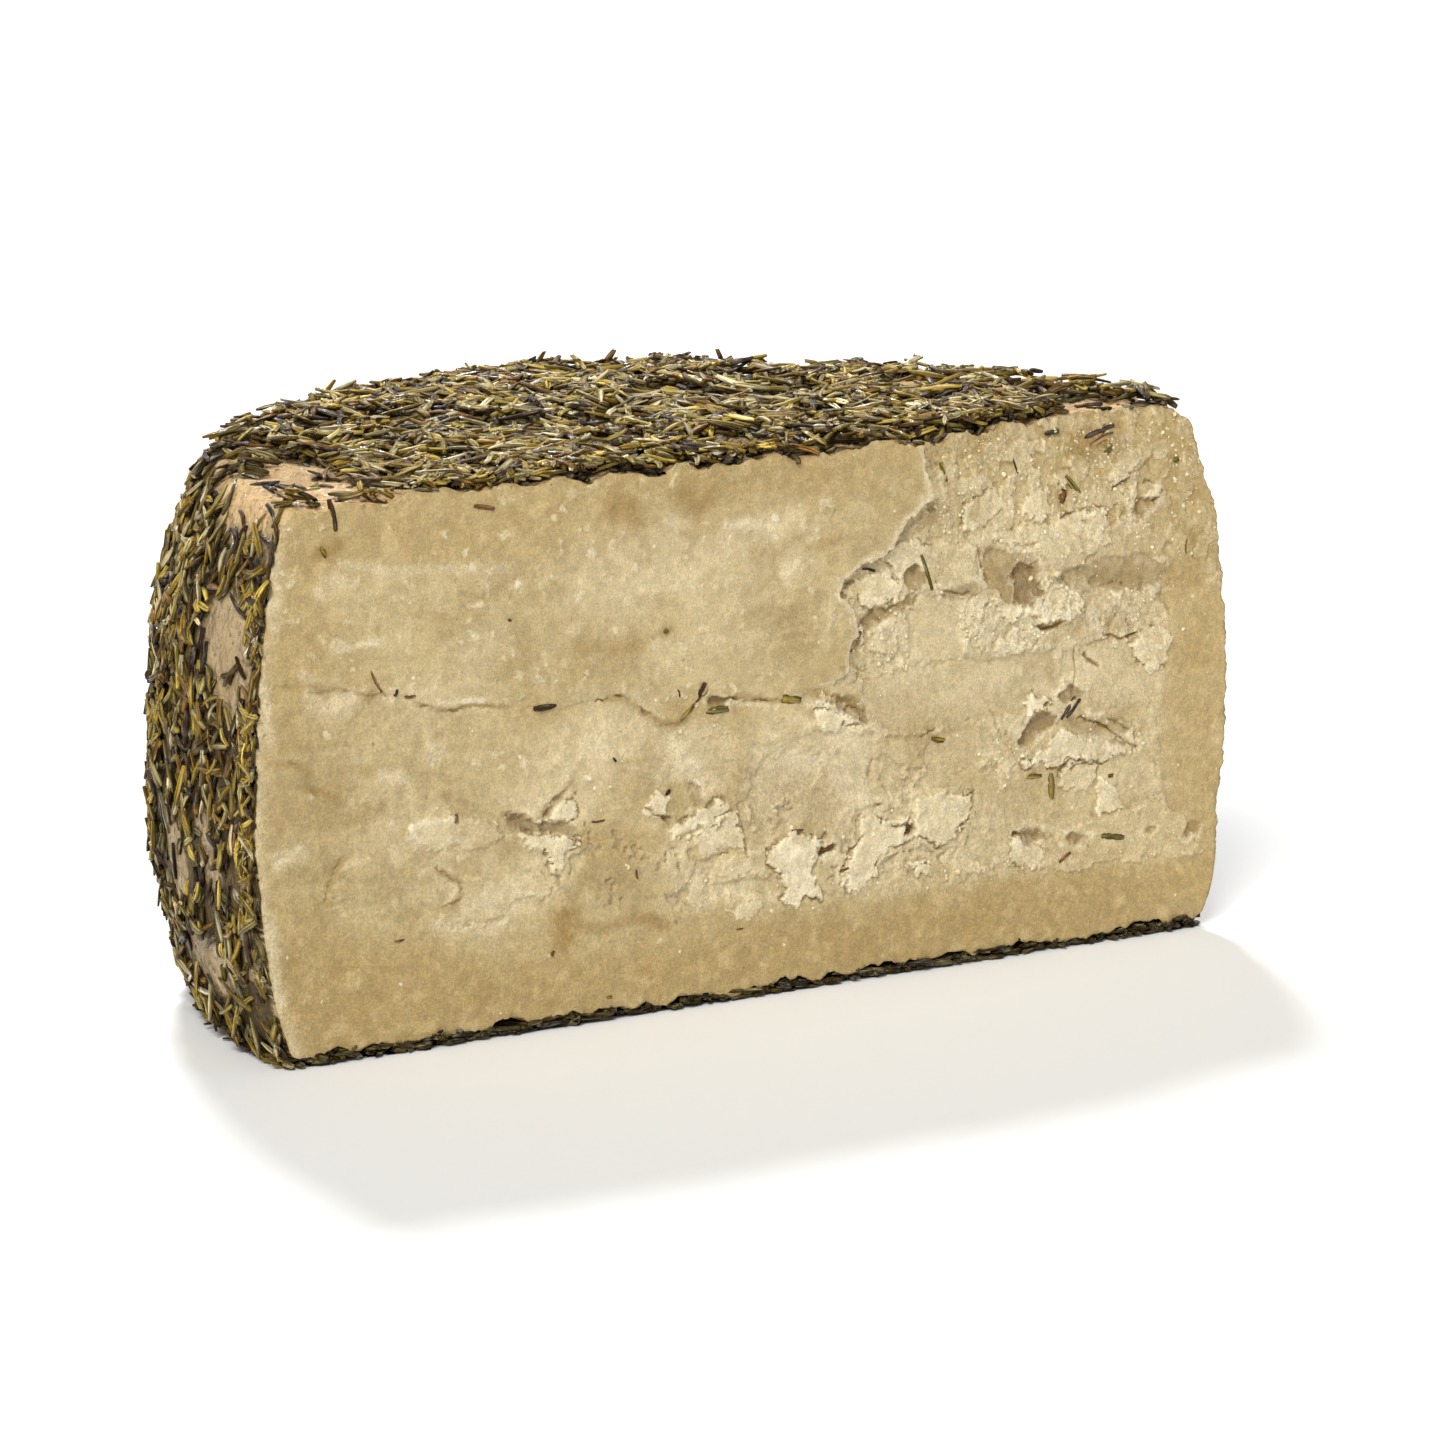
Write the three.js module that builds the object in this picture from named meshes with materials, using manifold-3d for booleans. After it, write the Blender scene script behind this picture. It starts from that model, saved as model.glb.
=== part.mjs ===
// Half a wheel of semi-hard cheese, cut down through its axis and coated all round with dried rosemary needles.
// Millimetres, +Z up. X runs along the cut face, which looks towards -Y, and the half wheel curves away behind it.
// The origin is the middle of the base: the wheel's axis is at X = 0, and Y = 0 is halfway from the cut to the back.
import * as THREE from "three";
import { mergeVertices } from "three/addons/utils/BufferGeometryUtils.js";
import Module from "manifold-3d";

// Driving dimensions of the wheel.
const WHEEL_RADIUS = 100; // at the belly, the widest level
const TOP_RADIUS = 95;
const FOOT_RADIUS = 93.5;
const PASTE_HEIGHT = 88; // rind to rind
const BELLY_HEIGHT = 41.5; // of the widest level above the foot of the paste
const BELLY_POWER = 2.6; // how long the side stays near its widest
const RIM_ROUNDING = 3.5;
const MAT_THICKNESS = 2; // pressed needles that the wheel stands on
const MAT_INSET = 1.2;
const COAT_PROUD = 1.5; // how far the thickest needles stand off the rind

// The wheel stands with its cut in this plane, so that the base's middle is at the origin.
const CUT_Y = -(WHEEL_RADIUS + COAT_PROUD) / 2;
const PASTE_TOP = MAT_THICKNESS + PASTE_HEIGHT;
const MAT_RADIUS = FOOT_RADIUS - RIM_ROUNDING - MAT_INSET;

// The cut face. The knife left a smooth slab at the left, and the rest tore away behind it.
const SLAB_STEP = 0.8; // the torn face under the slab's left part
const TEAR_START_X = 20;
const TEAR_DEPTH = 3.8; // just right of the slab, at the top
const CORNER_DEPTH = 8.4; // at the top right corner
const CRAG_HEIGHT = 1.1;
const CRAG_SPACING = 7;
const FACE_COLUMNS = 32;
const FACE_ROWS = 15;

// The needles: the largest of the coat, each a low ridge with blunt ends.
const SHORTEST_NEEDLE = 7;
const LONGEST_NEEDLE = 10.5;
const NEEDLE_WIDTH = 1.6;
const TOP_NEEDLES = 115;
const SIDE_NEEDLES = 160;
const FOOT_NEEDLES = 14;
const BEDDED_PROUD = 0.6; // how far the needles in the cut face stand out of it
const SEED = 20;

const PASTE_COLOUR = 0xd9c48f;

const wasm = await Module();
wasm.setup();

// Repeatable random numbers from 0 to 1.
function randomFrom(seed) {
  let state = seed;
  return () => {
    state = (state + 0x6d2b79f5) | 0;
    let t = Math.imul(state ^ (state >>> 15), 1 | state);
    t = (t + Math.imul(t ^ (t >>> 7), 61 | t)) ^ t;
    return ((t ^ (t >>> 14)) >>> 0) / 4294967296;
  };
}

function solidOf(geometry) {
  const bare = geometry.clone();
  bare.deleteAttribute("normal");
  bare.deleteAttribute("uv");
  const merged = mergeVertices(bare, 1e-4);
  return new wasm.Manifold(
    new wasm.Mesh({
      numProp: 3,
      vertProperties: new Float32Array(merged.attributes.position.array),
      triVerts: new Uint32Array(merged.index.array),
    }),
  );
}

function geometryOf(solid) {
  const mesh = solid.getMesh();
  const positions = new Float32Array(mesh.numVert * 3);
  for (let i = 0; i < mesh.numVert; i++) {
    const from = i * mesh.numProp;
    positions.set(mesh.vertProperties.subarray(from, from + 3), i * 3);
  }
  const geometry = new THREE.BufferGeometry();
  geometry.setAttribute("position", new THREE.BufferAttribute(positions, 3));
  geometry.setIndex(new THREE.BufferAttribute(new Uint32Array(mesh.triVerts), 1));
  geometry.computeVertexNormals();
  return geometry;
}

// Radius of the bellied side at a height above the foot of the paste.
function sideRadius(height) {
  const above = Math.max(0, (height - BELLY_HEIGHT) / (PASTE_HEIGHT - BELLY_HEIGHT));
  const below = Math.max(0, (BELLY_HEIGHT - height) / BELLY_HEIGHT);
  const narrowedAbove = (WHEEL_RADIUS - TOP_RADIUS) * above ** BELLY_POWER;
  const narrowedBelow = (WHEEL_RADIUS - FOOT_RADIUS) * below ** BELLY_POWER;
  return WHEEL_RADIUS - narrowedAbove - narrowedBelow;
}

// How much the rounded rim takes off the radius, a given way below the top or above the foot.
function rimLoss(distance) {
  const short = Math.max(0, RIM_ROUNDING - distance);
  return RIM_ROUNDING - Math.sqrt(RIM_ROUNDING ** 2 - short ** 2);
}

function rindRadius(height) {
  return sideRadius(height) - rimLoss(height) - rimLoss(PASTE_HEIGHT - height);
}

// The whole wheel, as a turned shape: the mat of needles, the foot, the belly and the rounded top rim.
function wheel() {
  const sideRows = 6;
  const rimRows = 2;
  const profile = [
    new THREE.Vector2(0, 0),
    new THREE.Vector2(MAT_RADIUS, 0),
    new THREE.Vector2(MAT_RADIUS, MAT_THICKNESS),
  ];
  const heights = [0];
  for (let i = 1; i <= rimRows; i++) heights.push((RIM_ROUNDING * i) / rimRows);
  for (let i = 1; i < sideRows; i++) {
    heights.push(RIM_ROUNDING + ((PASTE_HEIGHT - 2 * RIM_ROUNDING) * i) / sideRows);
  }
  for (let i = rimRows; i >= 0; i--) heights.push(PASTE_HEIGHT - (RIM_ROUNDING * i) / rimRows);
  for (const height of heights) profile.push(new THREE.Vector2(rindRadius(height), MAT_THICKNESS + height));
  profile.push(new THREE.Vector2(0, PASTE_TOP));
  const turned = new THREE.LatheGeometry(profile, 56);
  turned.rotateX(Math.PI / 2);
  return solidOf(turned).translate([0, CUT_Y, 0]);
}

function smoothRamp(from, to, value) {
  return THREE.MathUtils.smoothstep(value, from, to);
}

// Smooth bumps from -1 to 1 with one value at each lattice point.
function bumps(x, height, spacing, seed) {
  const column = Math.floor(x / spacing);
  const row = Math.floor(height / spacing);
  const across = smoothRamp(0, 1, x / spacing - column);
  const up = smoothRamp(0, 1, height / spacing - row);
  const at = (i, j) => randomFrom(seed + i * 7919 + j * 104729)() * 2 - 1;
  const low = THREE.MathUtils.lerp(at(column, row), at(column + 1, row), across);
  const high = THREE.MathUtils.lerp(at(column, row + 1), at(column + 1, row + 1), across);
  return THREE.MathUtils.lerp(low, high, up);
}

// How far the torn face lies behind the knife's plane. Heights are above the foot of the paste.
function tornDepth(x, height) {
  const right = smoothRamp(TEAR_START_X - 12, TEAR_START_X, x);
  const towardsEdge = THREE.MathUtils.clamp((x - TEAR_START_X) / (WHEEL_RADIUS - TEAR_START_X), 0, 1);
  const towardsTop = THREE.MathUtils.clamp(height / PASTE_HEIGHT, 0, 1);
  const tear = THREE.MathUtils.lerp(TEAR_DEPTH, CORNER_DEPTH, towardsEdge) * towardsTop;
  const rough = smoothRamp(10, 24, height) * (0.3 + 0.7 * right);
  const crags = CRAG_HEIGHT * rough * bumps(x, height, CRAG_SPACING, SEED);
  return Math.max(0.15, THREE.MathUtils.lerp(SLAB_STEP, tear + 0.4, right) + crags);
}

// Turns a solid drawn with X across, Y up and its front towards the viewer into place on the cut.
function standOnCut(geometry) {
  geometry.rotateX(Math.PI / 2);
  geometry.translate(0, CUT_Y, MAT_THICKNESS);
  return solidOf(geometry);
}

// Everything behind the torn face, down to the level that the cheese rests on.
function tornBlock() {
  const margin = 4;
  const depth = WHEEL_RADIUS + COAT_PROUD + margin;
  const width = 2 * (WHEEL_RADIUS + margin);
  const tall = PASTE_TOP + margin;
  const block = new THREE.BoxGeometry(width, tall, depth, FACE_COLUMNS, FACE_ROWS, 1);
  block.translate(0, tall / 2 - MAT_THICKNESS, -depth / 2);
  const points = block.attributes.position;
  for (let i = 0; i < points.count; i++) {
    if (points.getZ(i) > -1) {
      points.setZ(i, -tornDepth(points.getX(i), points.getY(i)));
    }
  }
  return standOnCut(block);
}

// An outline whose straight stretches crumble into short uneven steps.
function crumbledShape(corners, step, unevenness, seed) {
  const random = randomFrom(seed);
  const points = [];
  corners.forEach(([x, y], i) => {
    const [nextX, nextY] = corners[(i + 1) % corners.length];
    const length = Math.hypot(nextX - x, nextY - y);
    const inside = Math.min(length, 30) < length ? 1 : Math.max(1, Math.round(length / step));
    for (let k = 0; k < inside; k++) {
      const along = k / inside;
      const off = k === 0 ? 0 : (random() - 0.5) * 2 * unevenness;
      const px = x + (nextX - x) * along - ((nextY - y) / length) * off;
      const py = y + (nextY - y) * along + ((nextX - x) / length) * off;
      points.push(new THREE.Vector2(px, py));
    }
  });
  return new THREE.Shape(points);
}

// A plate of paste that stands in front of the torn face. front is how far it lies behind the knife's plane at its
// middle, and leanX and leanY are how much deeper it gets for each millimetre to the right and upwards.
function plate(shape, front, leanX = 0, leanY = 0) {
  const back = 14;
  const drawn = new THREE.ExtrudeGeometry(shape, { depth: back, bevelEnabled: false });
  const middle = new THREE.Box2().setFromPoints(shape.getPoints()).getCenter(new THREE.Vector2());
  drawn.translate(0, 0, -back);
  const points = drawn.attributes.position;
  for (let i = 0; i < points.count; i++) {
    if (points.getZ(i) > -1) {
      const lean = leanX * (points.getX(i) - middle.x) + leanY * (points.getY(i) - middle.y);
      points.setZ(i, -Math.max(0, front + lean));
    }
  }
  return standOnCut(drawn);
}

// The smooth slab that the knife cut, down to the long crack at half height.
function knifeSlab() {
  const edge = [
    [-106, 96], [-106, 60], [-90, 60], [-77, 58.5], [-66, 54], [-52, 52.5], [-40, 52], [-30, 51.5],
    [-25, 49], [-20, 45.8], [-16, 46.6], [-8, 49.5], [3, 48], [14, 48.8], [17.5, 51], [18, 57],
    [17, 63], [15, 66.5], [22, 68.4], [26, 70.6], [29, 75], [34, 79], [33, 83], [31.5, 96],
  ];
  return plate(crumbledShape(edge, 5, 0.6, SEED + 1), 0);
}

// The flakes of paste that stand proud of the tear: their corners, depth and lean.
function flakes() {
  const raised = [
    { corners: [[24, 69], [29, 72], [33, 70], [30, 66.5], [26, 66]], front: 2, leanX: 0.06, leanY: 0 },
    { corners: [[19, 66], [24, 66], [28, 63], [25, 60.5], [20, 61]], front: 2.4, leanX: 0.08, leanY: 0 },
    { corners: [[34, 70], [44, 69], [47, 62], [40, 60], [31, 62]], front: 2.7, leanX: 0.05, leanY: 0.04 },
    { corners: [[46, 70], [58, 71], [72, 70], [71, 66], [60, 63], [56, 67]], front: 3.8, leanX: 0.05, leanY: 0.03 },
    { corners: [[31, 60], [40, 59], [52, 55], [58, 52], [62, 45], [56, 41], [40, 40], [28, 39], [22, 44], [24, 54]],
      front: 1.5, leanX: 0.02, leanY: 0.02 },
    { corners: [[66, 49], [74, 50], [84, 51.5], [82, 44], [74, 41], [66, 43]], front: 2.6, leanX: 0.03, leanY: 0.03 },
    { corners: [[70, 57], [80, 56], [79, 50.5], [73, 50.5]], front: 3.4, leanX: 0, leanY: 0.1 },
    { corners: [[60, 38], [66, 37.5], [70, 35], [79, 30.5], [70, 31], [66, 32], [59, 30], [54, 32], [57, 34]],
      front: 1.1, leanX: 0.03, leanY: 0.04 },
    { corners: [[40, 38], [50, 35], [52, 29], [44, 27], [34, 31], [28, 36]], front: 1.3, leanX: 0, leanY: 0.05 },
    { corners: [[31, 27], [40, 28], [43, 26], [40, 21], [33, 21]], front: 0.6, leanX: 0.03, leanY: 0.02 },
    { corners: [[21, 26.5], [26, 26], [27, 22], [23, 19], [22, 14], [18, 13], [16, 15], [19, 21]],
      front: 0.5, leanX: 0, leanY: 0.03 },
    { corners: [[1, 23], [6, 26], [11, 24], [9, 18], [8, 13], [4, 12.5], [4, 19]], front: 0.3, leanX: 0.03, leanY: 0.02 },
    { corners: [[52, 21], [66, 20], [84, 21], [92, 14], [90, 10], [76, 12], [62, 12], [54, 14]],
      front: 0.8, leanX: 0.01, leanY: 0.03 },
    { corners: [[-19, 27], [-12, 31], [-5, 30], [-3, 24], [-8, 25], [-13, 28]], front: 0.3, leanX: 0, leanY: 0 },
    { corners: [[-70, 36], [-62, 35], [-52, 33], [-40, 29], [-42, 21], [-56, 17], [-62, 22], [-70, 31]],
      front: 0.25, leanX: 0, leanY: 0.01 },
  ];
  return raised.map(({ corners, front, leanX, leanY }, i) =>
    plate(crumbledShape(corners, 4.2, 0.6, SEED + 10 + i), front, leanX, leanY),
  );
}

// Hollows where lumps came away: middle, half width, half height, depth below the knife's plane, and turn in degrees.
function hollows() {
  const scooped = [
    { x: 52, height: 62.5, wide: 6, tall: 4, deep: 7, turn: -10 },
    { x: 73, height: 62, wide: 6, tall: 2.2, deep: 7, turn: 12 },
    { x: 78, height: 75, wide: 5, tall: 6, deep: 9, turn: 30 },
    { x: 27, height: 59.5, wide: 5, tall: 1.8, deep: 5, turn: 20 },
    { x: 55, height: 37, wide: 4.6, tall: 3, deep: 4.6, turn: 30 },
    { x: 16, height: 45.8, wide: 4.5, tall: 2, deep: 3, turn: -35 },
    { x: -10, height: 49, wide: 2.4, tall: 2, deep: 2.2, turn: 0 },
    { x: -46, height: 32.5, wide: 7.4, tall: 1.5, deep: 2.2, turn: -12 },
    { x: 55, height: 18.6, wide: 3, tall: 1.4, deep: 2.4, turn: 0 },
    { x: 66, height: 17.4, wide: 2.4, tall: 1.1, deep: 2.2, turn: 0 },
    { x: 13, height: 21.3, wide: 2, tall: 1.1, deep: 1.8, turn: 10 },
    { x: 29.5, height: 22.4, wide: 1.5, tall: 1.6, deep: 2, turn: 0 },
  ];
  return scooped.map(({ x, height, wide, tall, deep, turn }) => {
    const bowl = new THREE.IcosahedronGeometry(1, 1);
    bowl.scale(wide, tall, deep);
    bowl.rotateZ(THREE.MathUtils.degToRad(turn));
    bowl.translate(x, height, 0);
    return standOnCut(bowl);
  });
}

// A needle of dried rosemary along X, half sunk at Z = 0: a ridge that stands proud, and tapers at one end.
function needleGeometry(length, width, proud = 1) {
  const widthAtMiddle = Math.sqrt(3) / 3;
  const needle = new THREE.CylinderGeometry(0.35, 0.5, 1, 3, 1);
  needle.rotateZ(Math.PI / 2);
  needle.scale(length, width / widthAtMiddle, 2 * proud);
  return needle;
}

// Points spread evenly over a unit square, with no two rows alike.
function evenPair(index) {
  const first = 0.7548776662466927;
  const second = 0.5698402909980532;
  return [(0.5 + index * first) % 1, (0.5 + index * second) % 1];
}

function coatNeedle(random) {
  const length = THREE.MathUtils.lerp(SHORTEST_NEEDLE, LONGEST_NEEDLE, random() ** 1.5);
  const width = NEEDLE_WIDTH * (0.85 + 0.3 * random());
  return needleGeometry(length, width, COAT_PROUD * (0.6 + 0.4 * random()));
}

// Needles that lie every way on the flat top.
function topNeedles() {
  const random = randomFrom(SEED + 2);
  const reach = TOP_RADIUS - RIM_ROUNDING;
  return Array.from({ length: TOP_NEEDLES }, (_, i) => {
    const [outwards, around] = evenPair(i);
    const radius = reach * Math.sqrt(outwards);
    const angle = Math.PI * around;
    const needle = coatNeedle(random);
    needle.rotateZ(Math.PI * random());
    needle.translate(radius * Math.cos(angle), CUT_Y + radius * Math.sin(angle), PASTE_TOP);
    return solidOf(needle);
  });
}

// Needles round the side, turned every way but mostly steep.
function sideNeedles() {
  const random = randomFrom(SEED + 3);
  const spareHeight = 3;
  return Array.from({ length: SIDE_NEEDLES }, (_, i) => {
    const [up, around] = evenPair(i);
    const height = THREE.MathUtils.lerp(spareHeight, PASTE_HEIGHT - spareHeight, up);
    const slope = (rindRadius(height + 1) - rindRadius(height - 1)) / 2;
    const needle = coatNeedle(random);
    needle.rotateZ(Math.PI * 0.8 * (random() - 0.5));
    needle.rotateY(Math.PI / 2 + Math.atan(slope));
    needle.translate(rindRadius(height), 0, 0);
    needle.rotateZ(Math.PI * around);
    needle.translate(0, CUT_Y, MAT_THICKNESS + height);
    return solidOf(needle);
  });
}

// Needles that poke out of the mat under the rounded foot.
function footNeedles() {
  const random = randomFrom(SEED + 4);
  const squashed = 0.8;
  return Array.from({ length: FOOT_NEEDLES }, (_, i) => {
    const needle = needleGeometry(LONGEST_NEEDLE * (0.8 + 0.2 * random()), NEEDLE_WIDTH);
    needle.rotateZ(Math.PI * 0.5 * (random() - 0.5));
    needle.translate(MAT_RADIUS, 0, squashed);
    needle.rotateZ((Math.PI * (i + 0.5)) / FOOT_NEEDLES);
    needle.translate(0, CUT_Y, 0);
    return solidOf(needle);
  });
}

// Needles bedded in the cut face: middle, length, width and turn in degrees.
function beddedNeedles() {
  const bedded = [
    { x: -44.8, height: 51.5, length: 4.4, width: 1, turn: 0 },
    { x: -15, height: 49.4, length: 6.6, width: 1, turn: 50 },
    { x: -10.3, height: 47.3, length: 4.4, width: 1.4, turn: 0 },
    { x: 4.8, height: 47.3, length: 4.2, width: 1.7, turn: -15 },
    { x: 36, height: 37, length: 3.4, width: 1, turn: -12 },
    { x: 64, height: 40, length: 4.8, width: 1.5, turn: 52 },
    { x: 57, height: 28.6, length: 3.4, width: 1, turn: -3 },
    { x: 60, height: 26.5, length: 4.4, width: 1.5, turn: -85 },
    { x: 73.4, height: 16.2, length: 4.8, width: 1.2, turn: -10 },
    { x: 32.2, height: 64.8, length: 4.4, width: 1.1, turn: -62 },
    { x: 58.8, height: 87, length: 3.2, width: 1.1, turn: 3 },
    { x: 69.5, height: 85.4, length: 7, width: 1.6, turn: 18 },
    { x: 63.6, height: 77.8, length: 4.4, width: 1.1, turn: -45 },
    { x: -57, height: 85.3, length: 4.2, width: 1, turn: -8 },
    { x: -85.7, height: 86.6, length: 5.4, width: 1, turn: -75 },
  ];
  return bedded.map(({ x, height, length, width, turn }) => {
    const needle = needleGeometry(length, width, BEDDED_PROUD);
    needle.rotateZ(THREE.MathUtils.degToRad(turn));
    needle.translate(x, height, -surfaceDepth(x, height));
    return standOnCut(needle);
  });
}

// Where the bedded needles lie: on the slab at the upper left, and on the torn face elsewhere.
function surfaceDepth(x, height) {
  const onSlab = x < TEAR_START_X - 6 && height > 50;
  return onSlab ? 0 : tornDepth(x, height);
}

// The knife and the tear went through the wheel and its coat together.
function cheese() {
  const front = wasm.Manifold.union([tornBlock(), knifeSlab(), ...flakes()]);
  const coated = wasm.Manifold.union([wheel(), ...topNeedles(), ...sideNeedles(), ...footNeedles()]);
  const half = coated.intersect(front).subtract(wasm.Manifold.union(hollows()));
  const fused = wasm.Manifold.union([half, ...beddedNeedles()]);
  const bodies = fused.decompose().sort((a, b) => b.volume() - a.volume());
  const material = new THREE.MeshStandardMaterial({ color: PASTE_COLOUR, roughness: 0.55, metalness: 0 });
  const mesh = new THREE.Mesh(geometryOf(bodies[0]), material);
  mesh.name = "half_wheel";
  return mesh;
}

const model = new THREE.Group();
model.add(cheese());

export default model;
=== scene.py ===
"""Half a wheel of aged cheese, cut and torn open, in its coat of dried rosemary needles.

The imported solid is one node. Here it is replaced by the cheese itself, with the relief of the
cut, and by the needles, one by one. Lengths are in metres; the maps of the cut face are drawn in
millimetres, x along the cut from the wheel's axis and h above the foot of the paste, and are
multiplied by MM where they become geometry.
"""

from math import cos, pi, radians, sin, tan

import bmesh
import bpy
import numpy as np
from mathutils import Matrix, Vector


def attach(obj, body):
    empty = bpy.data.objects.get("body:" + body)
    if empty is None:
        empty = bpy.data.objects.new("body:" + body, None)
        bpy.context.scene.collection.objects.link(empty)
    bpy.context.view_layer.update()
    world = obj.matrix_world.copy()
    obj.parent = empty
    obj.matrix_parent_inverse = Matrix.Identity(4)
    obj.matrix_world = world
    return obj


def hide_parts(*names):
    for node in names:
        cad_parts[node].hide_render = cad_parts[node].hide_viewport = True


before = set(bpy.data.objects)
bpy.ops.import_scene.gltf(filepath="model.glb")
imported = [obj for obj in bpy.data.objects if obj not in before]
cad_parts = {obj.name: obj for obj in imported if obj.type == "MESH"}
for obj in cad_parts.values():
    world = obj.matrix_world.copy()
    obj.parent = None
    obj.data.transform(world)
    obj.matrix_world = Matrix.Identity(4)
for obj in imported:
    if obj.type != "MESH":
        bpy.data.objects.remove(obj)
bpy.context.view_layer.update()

MM = 0.001
NODE = "half_wheel"
BODY = "root"

# The wheel, in millimetres. The half wheel stands on a mat of needles, and its cut lies in the
# plane CUT_Y.
WHEEL_RADIUS = 100.0
TOP_RADIUS = 95.0
FOOT_RADIUS = 93.5
PASTE_HEIGHT = 88.0
BELLY_HEIGHT = 41.5
BELLY_POWER = 2.6
RIM_ROUNDING = 2.4
FOOT_ROUNDING = 1.0
SLUMP = 3.6
MAT_THICKNESS = 2.0
COAT_PROUD = 1.5
CUT_Y = -(WHEEL_RADIUS + COAT_PROUD) / 2

# The photograph's camera: a long lens, a little to the left of the cut and above it.
LENS_MM = 204.5
SENSOR_MM = 36.0
CAMERA_AZIMUTH = -36.33
CAMERA_ELEVATION = 11.4
CAMERA_ROLL = 0.657
CAMERA_DISTANCE = 1387.5
CAMERA_TARGET = (19.53, CUT_Y + 40.0, 35.6 + MAT_THICKNESS)

SEED = 20


def smooth(low, high, value):
    """0 below low, 1 above high, and a smooth step between them."""
    t = np.clip((value - low) / (high - low), 0.0, 1.0)
    return t * t * (3 - 2 * t)


def mix(a, b, share):
    """Between a, at share 0, and b, at share 1."""
    return a + (b - a) * share


def lattice(column, row, seed):
    """Repeatable random values from -1 to 1 at whole-numbered lattice points."""
    n = (column * 374761393 + row * 668265263 + seed * 974634777) & 0xFFFFFFFF
    n = ((n ^ (n >> 13)) * 1274126177) & 0xFFFFFFFF
    n = n ^ (n >> 16)
    return (n & 0xFFFF) / 32767.5 - 1


def bumps(x, y, spacing, seed):
    """Smooth noise from -1 to 1, with one value for each lattice point."""
    turned_x = 0.8 * x - 0.6 * y + 31.7 * seed
    turned_y = 0.6 * x + 0.8 * y + 17.3 * seed
    u, v = turned_x / spacing, turned_y / spacing
    column, row = np.floor(u).astype(np.int64), np.floor(v).astype(np.int64)
    across, up = u - column, v - row
    across = across**3 * (across * (across * 6 - 15) + 10)
    up = up**3 * (up * (up * 6 - 15) + 10)
    low = mix(lattice(column, row, seed), lattice(column + 1, row, seed), across)
    high = mix(lattice(column, row + 1, seed), lattice(column + 1, row + 1, seed), across)
    return mix(low, high, up)


def fractal(x, y, spacing, octaves, seed, keep=0.5):
    """Bumps on bumps, each set half the size of the one before."""
    total, height, reach = 0.0, 1.0, 0.0
    for k in range(octaves):
        total = total + height * bumps(x, y, spacing / 2**k, seed + 101 * k)
        reach += height
        height *= keep
    return total / reach


def segment_distance(x, y, start, end):
    """Squared distance to the straight line between two points."""
    (ax, ay), (bx, by) = start, end
    edge_x, edge_y = bx - ax, by - ay
    along = ((x - ax) * edge_x + (y - ay) * edge_y) / (edge_x**2 + edge_y**2)
    along = np.clip(along, 0, 1)
    return (x - ax - along * edge_x) ** 2 + (y - ay - along * edge_y) ** 2


def inside_distance(x, y, corners):
    """How far inside a closed outline each point lies; negative outside."""
    nearest = np.full(np.shape(x), np.inf)
    inside = np.zeros(np.shape(x), dtype=bool)
    for start, end in zip(corners, corners[1:] + corners[:1]):
        nearest = np.minimum(nearest, segment_distance(x, y, start, end))
        (ax, ay), (bx, by) = start, end
        slope = (bx - ax) / (by - ay) if by != ay else 0.0
        inside ^= ((ay > y) != (by > y)) & (x < ax + (y - ay) * slope)
    return np.where(inside, 1, -1) * np.sqrt(nearest)


def line_distance(x, y, points):
    """Distance to an open line through the points."""
    nearest = np.full(np.shape(x), np.inf)
    for start, end in zip(points, points[1:]):
        nearest = np.minimum(nearest, segment_distance(x, y, start, end))
    return np.sqrt(nearest)


# The form of the wheel


def side_radius(h):
    """Radius of the wheel at a height, without its rounded rims: widest at the belly."""
    above = np.clip((h - BELLY_HEIGHT) / (PASTE_HEIGHT - BELLY_HEIGHT), 0, None)
    below = np.clip((BELLY_HEIGHT - h) / BELLY_HEIGHT, 0, None)
    loss_above = (WHEEL_RADIUS - TOP_RADIUS) * above**BELLY_POWER
    loss_below = (WHEEL_RADIUS - FOOT_RADIUS) * below**BELLY_POWER
    return WHEEL_RADIUS - loss_above - loss_below


def rim_loss(distance, rounding):
    """What a rounded rim takes off the radius, at a distance from the flat face."""
    short = np.clip(rounding - distance, 0, rounding)
    return rounding - np.sqrt(rounding**2 - short**2)


def rind_radius(h):
    """Radius of the wheel at a height, with its rounded rims."""
    return side_radius(h) - rim_loss(h, FOOT_ROUNDING) - rim_loss(PASTE_HEIGHT - h, RIM_ROUNDING)


def slump(angle, h):
    """How far the shoulder behind the left end of the cut has slumped inwards."""
    behind = pi - angle
    return SLUMP * smooth(0.02, 0.13, behind) * smooth(1.6, 0.8, behind) * smooth(60, 90, h) ** 1.3


# The relief of the cut. Its maps are drawn in the knife's plane as the photograph's camera sees
# them: what lies behind that plane is seen further to the left and higher up by these shares of
# its depth.
SEEN_ACROSS = -tan(radians(CAMERA_AZIMUTH))
SEEN_UP = tan(radians(CAMERA_ELEVATION)) / cos(radians(CAMERA_AZIMUTH))

# Outline of the smooth slab, where the knife went through.
SLAB_EDGE = [
    (-106, 96), (-106, 61), (-96, 61), (-90, 58.6), (-85, 59), (-80, 57.4), (-74, 57), (-71, 56),
    (-69, 54.8), (-65, 53.2), (-58, 53.4), (-51, 52), (-42, 51.2), (-34, 51.7), (-30, 51.9),
    (-27, 50.4), (-24, 48.3), (-22, 46.4), (-18, 45.9), (-16, 47.2), (-12, 50.2), (-8, 49.2),
    (-4, 48.2), (5, 47.6), (10, 48.4), (14, 49.2), (17.2, 50.4), (16.6, 54), (18.6, 56.6),
    (17.4, 61), (14.6, 63.7), (15.2, 66.4), (19, 68), (23, 69), (25.3, 70.6), (27.4, 73.7),
    (29.5, 75.4), (32, 77), (34.6, 78.6), (33, 80.6), (32.2, 84), (30.5, 96),
]
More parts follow.
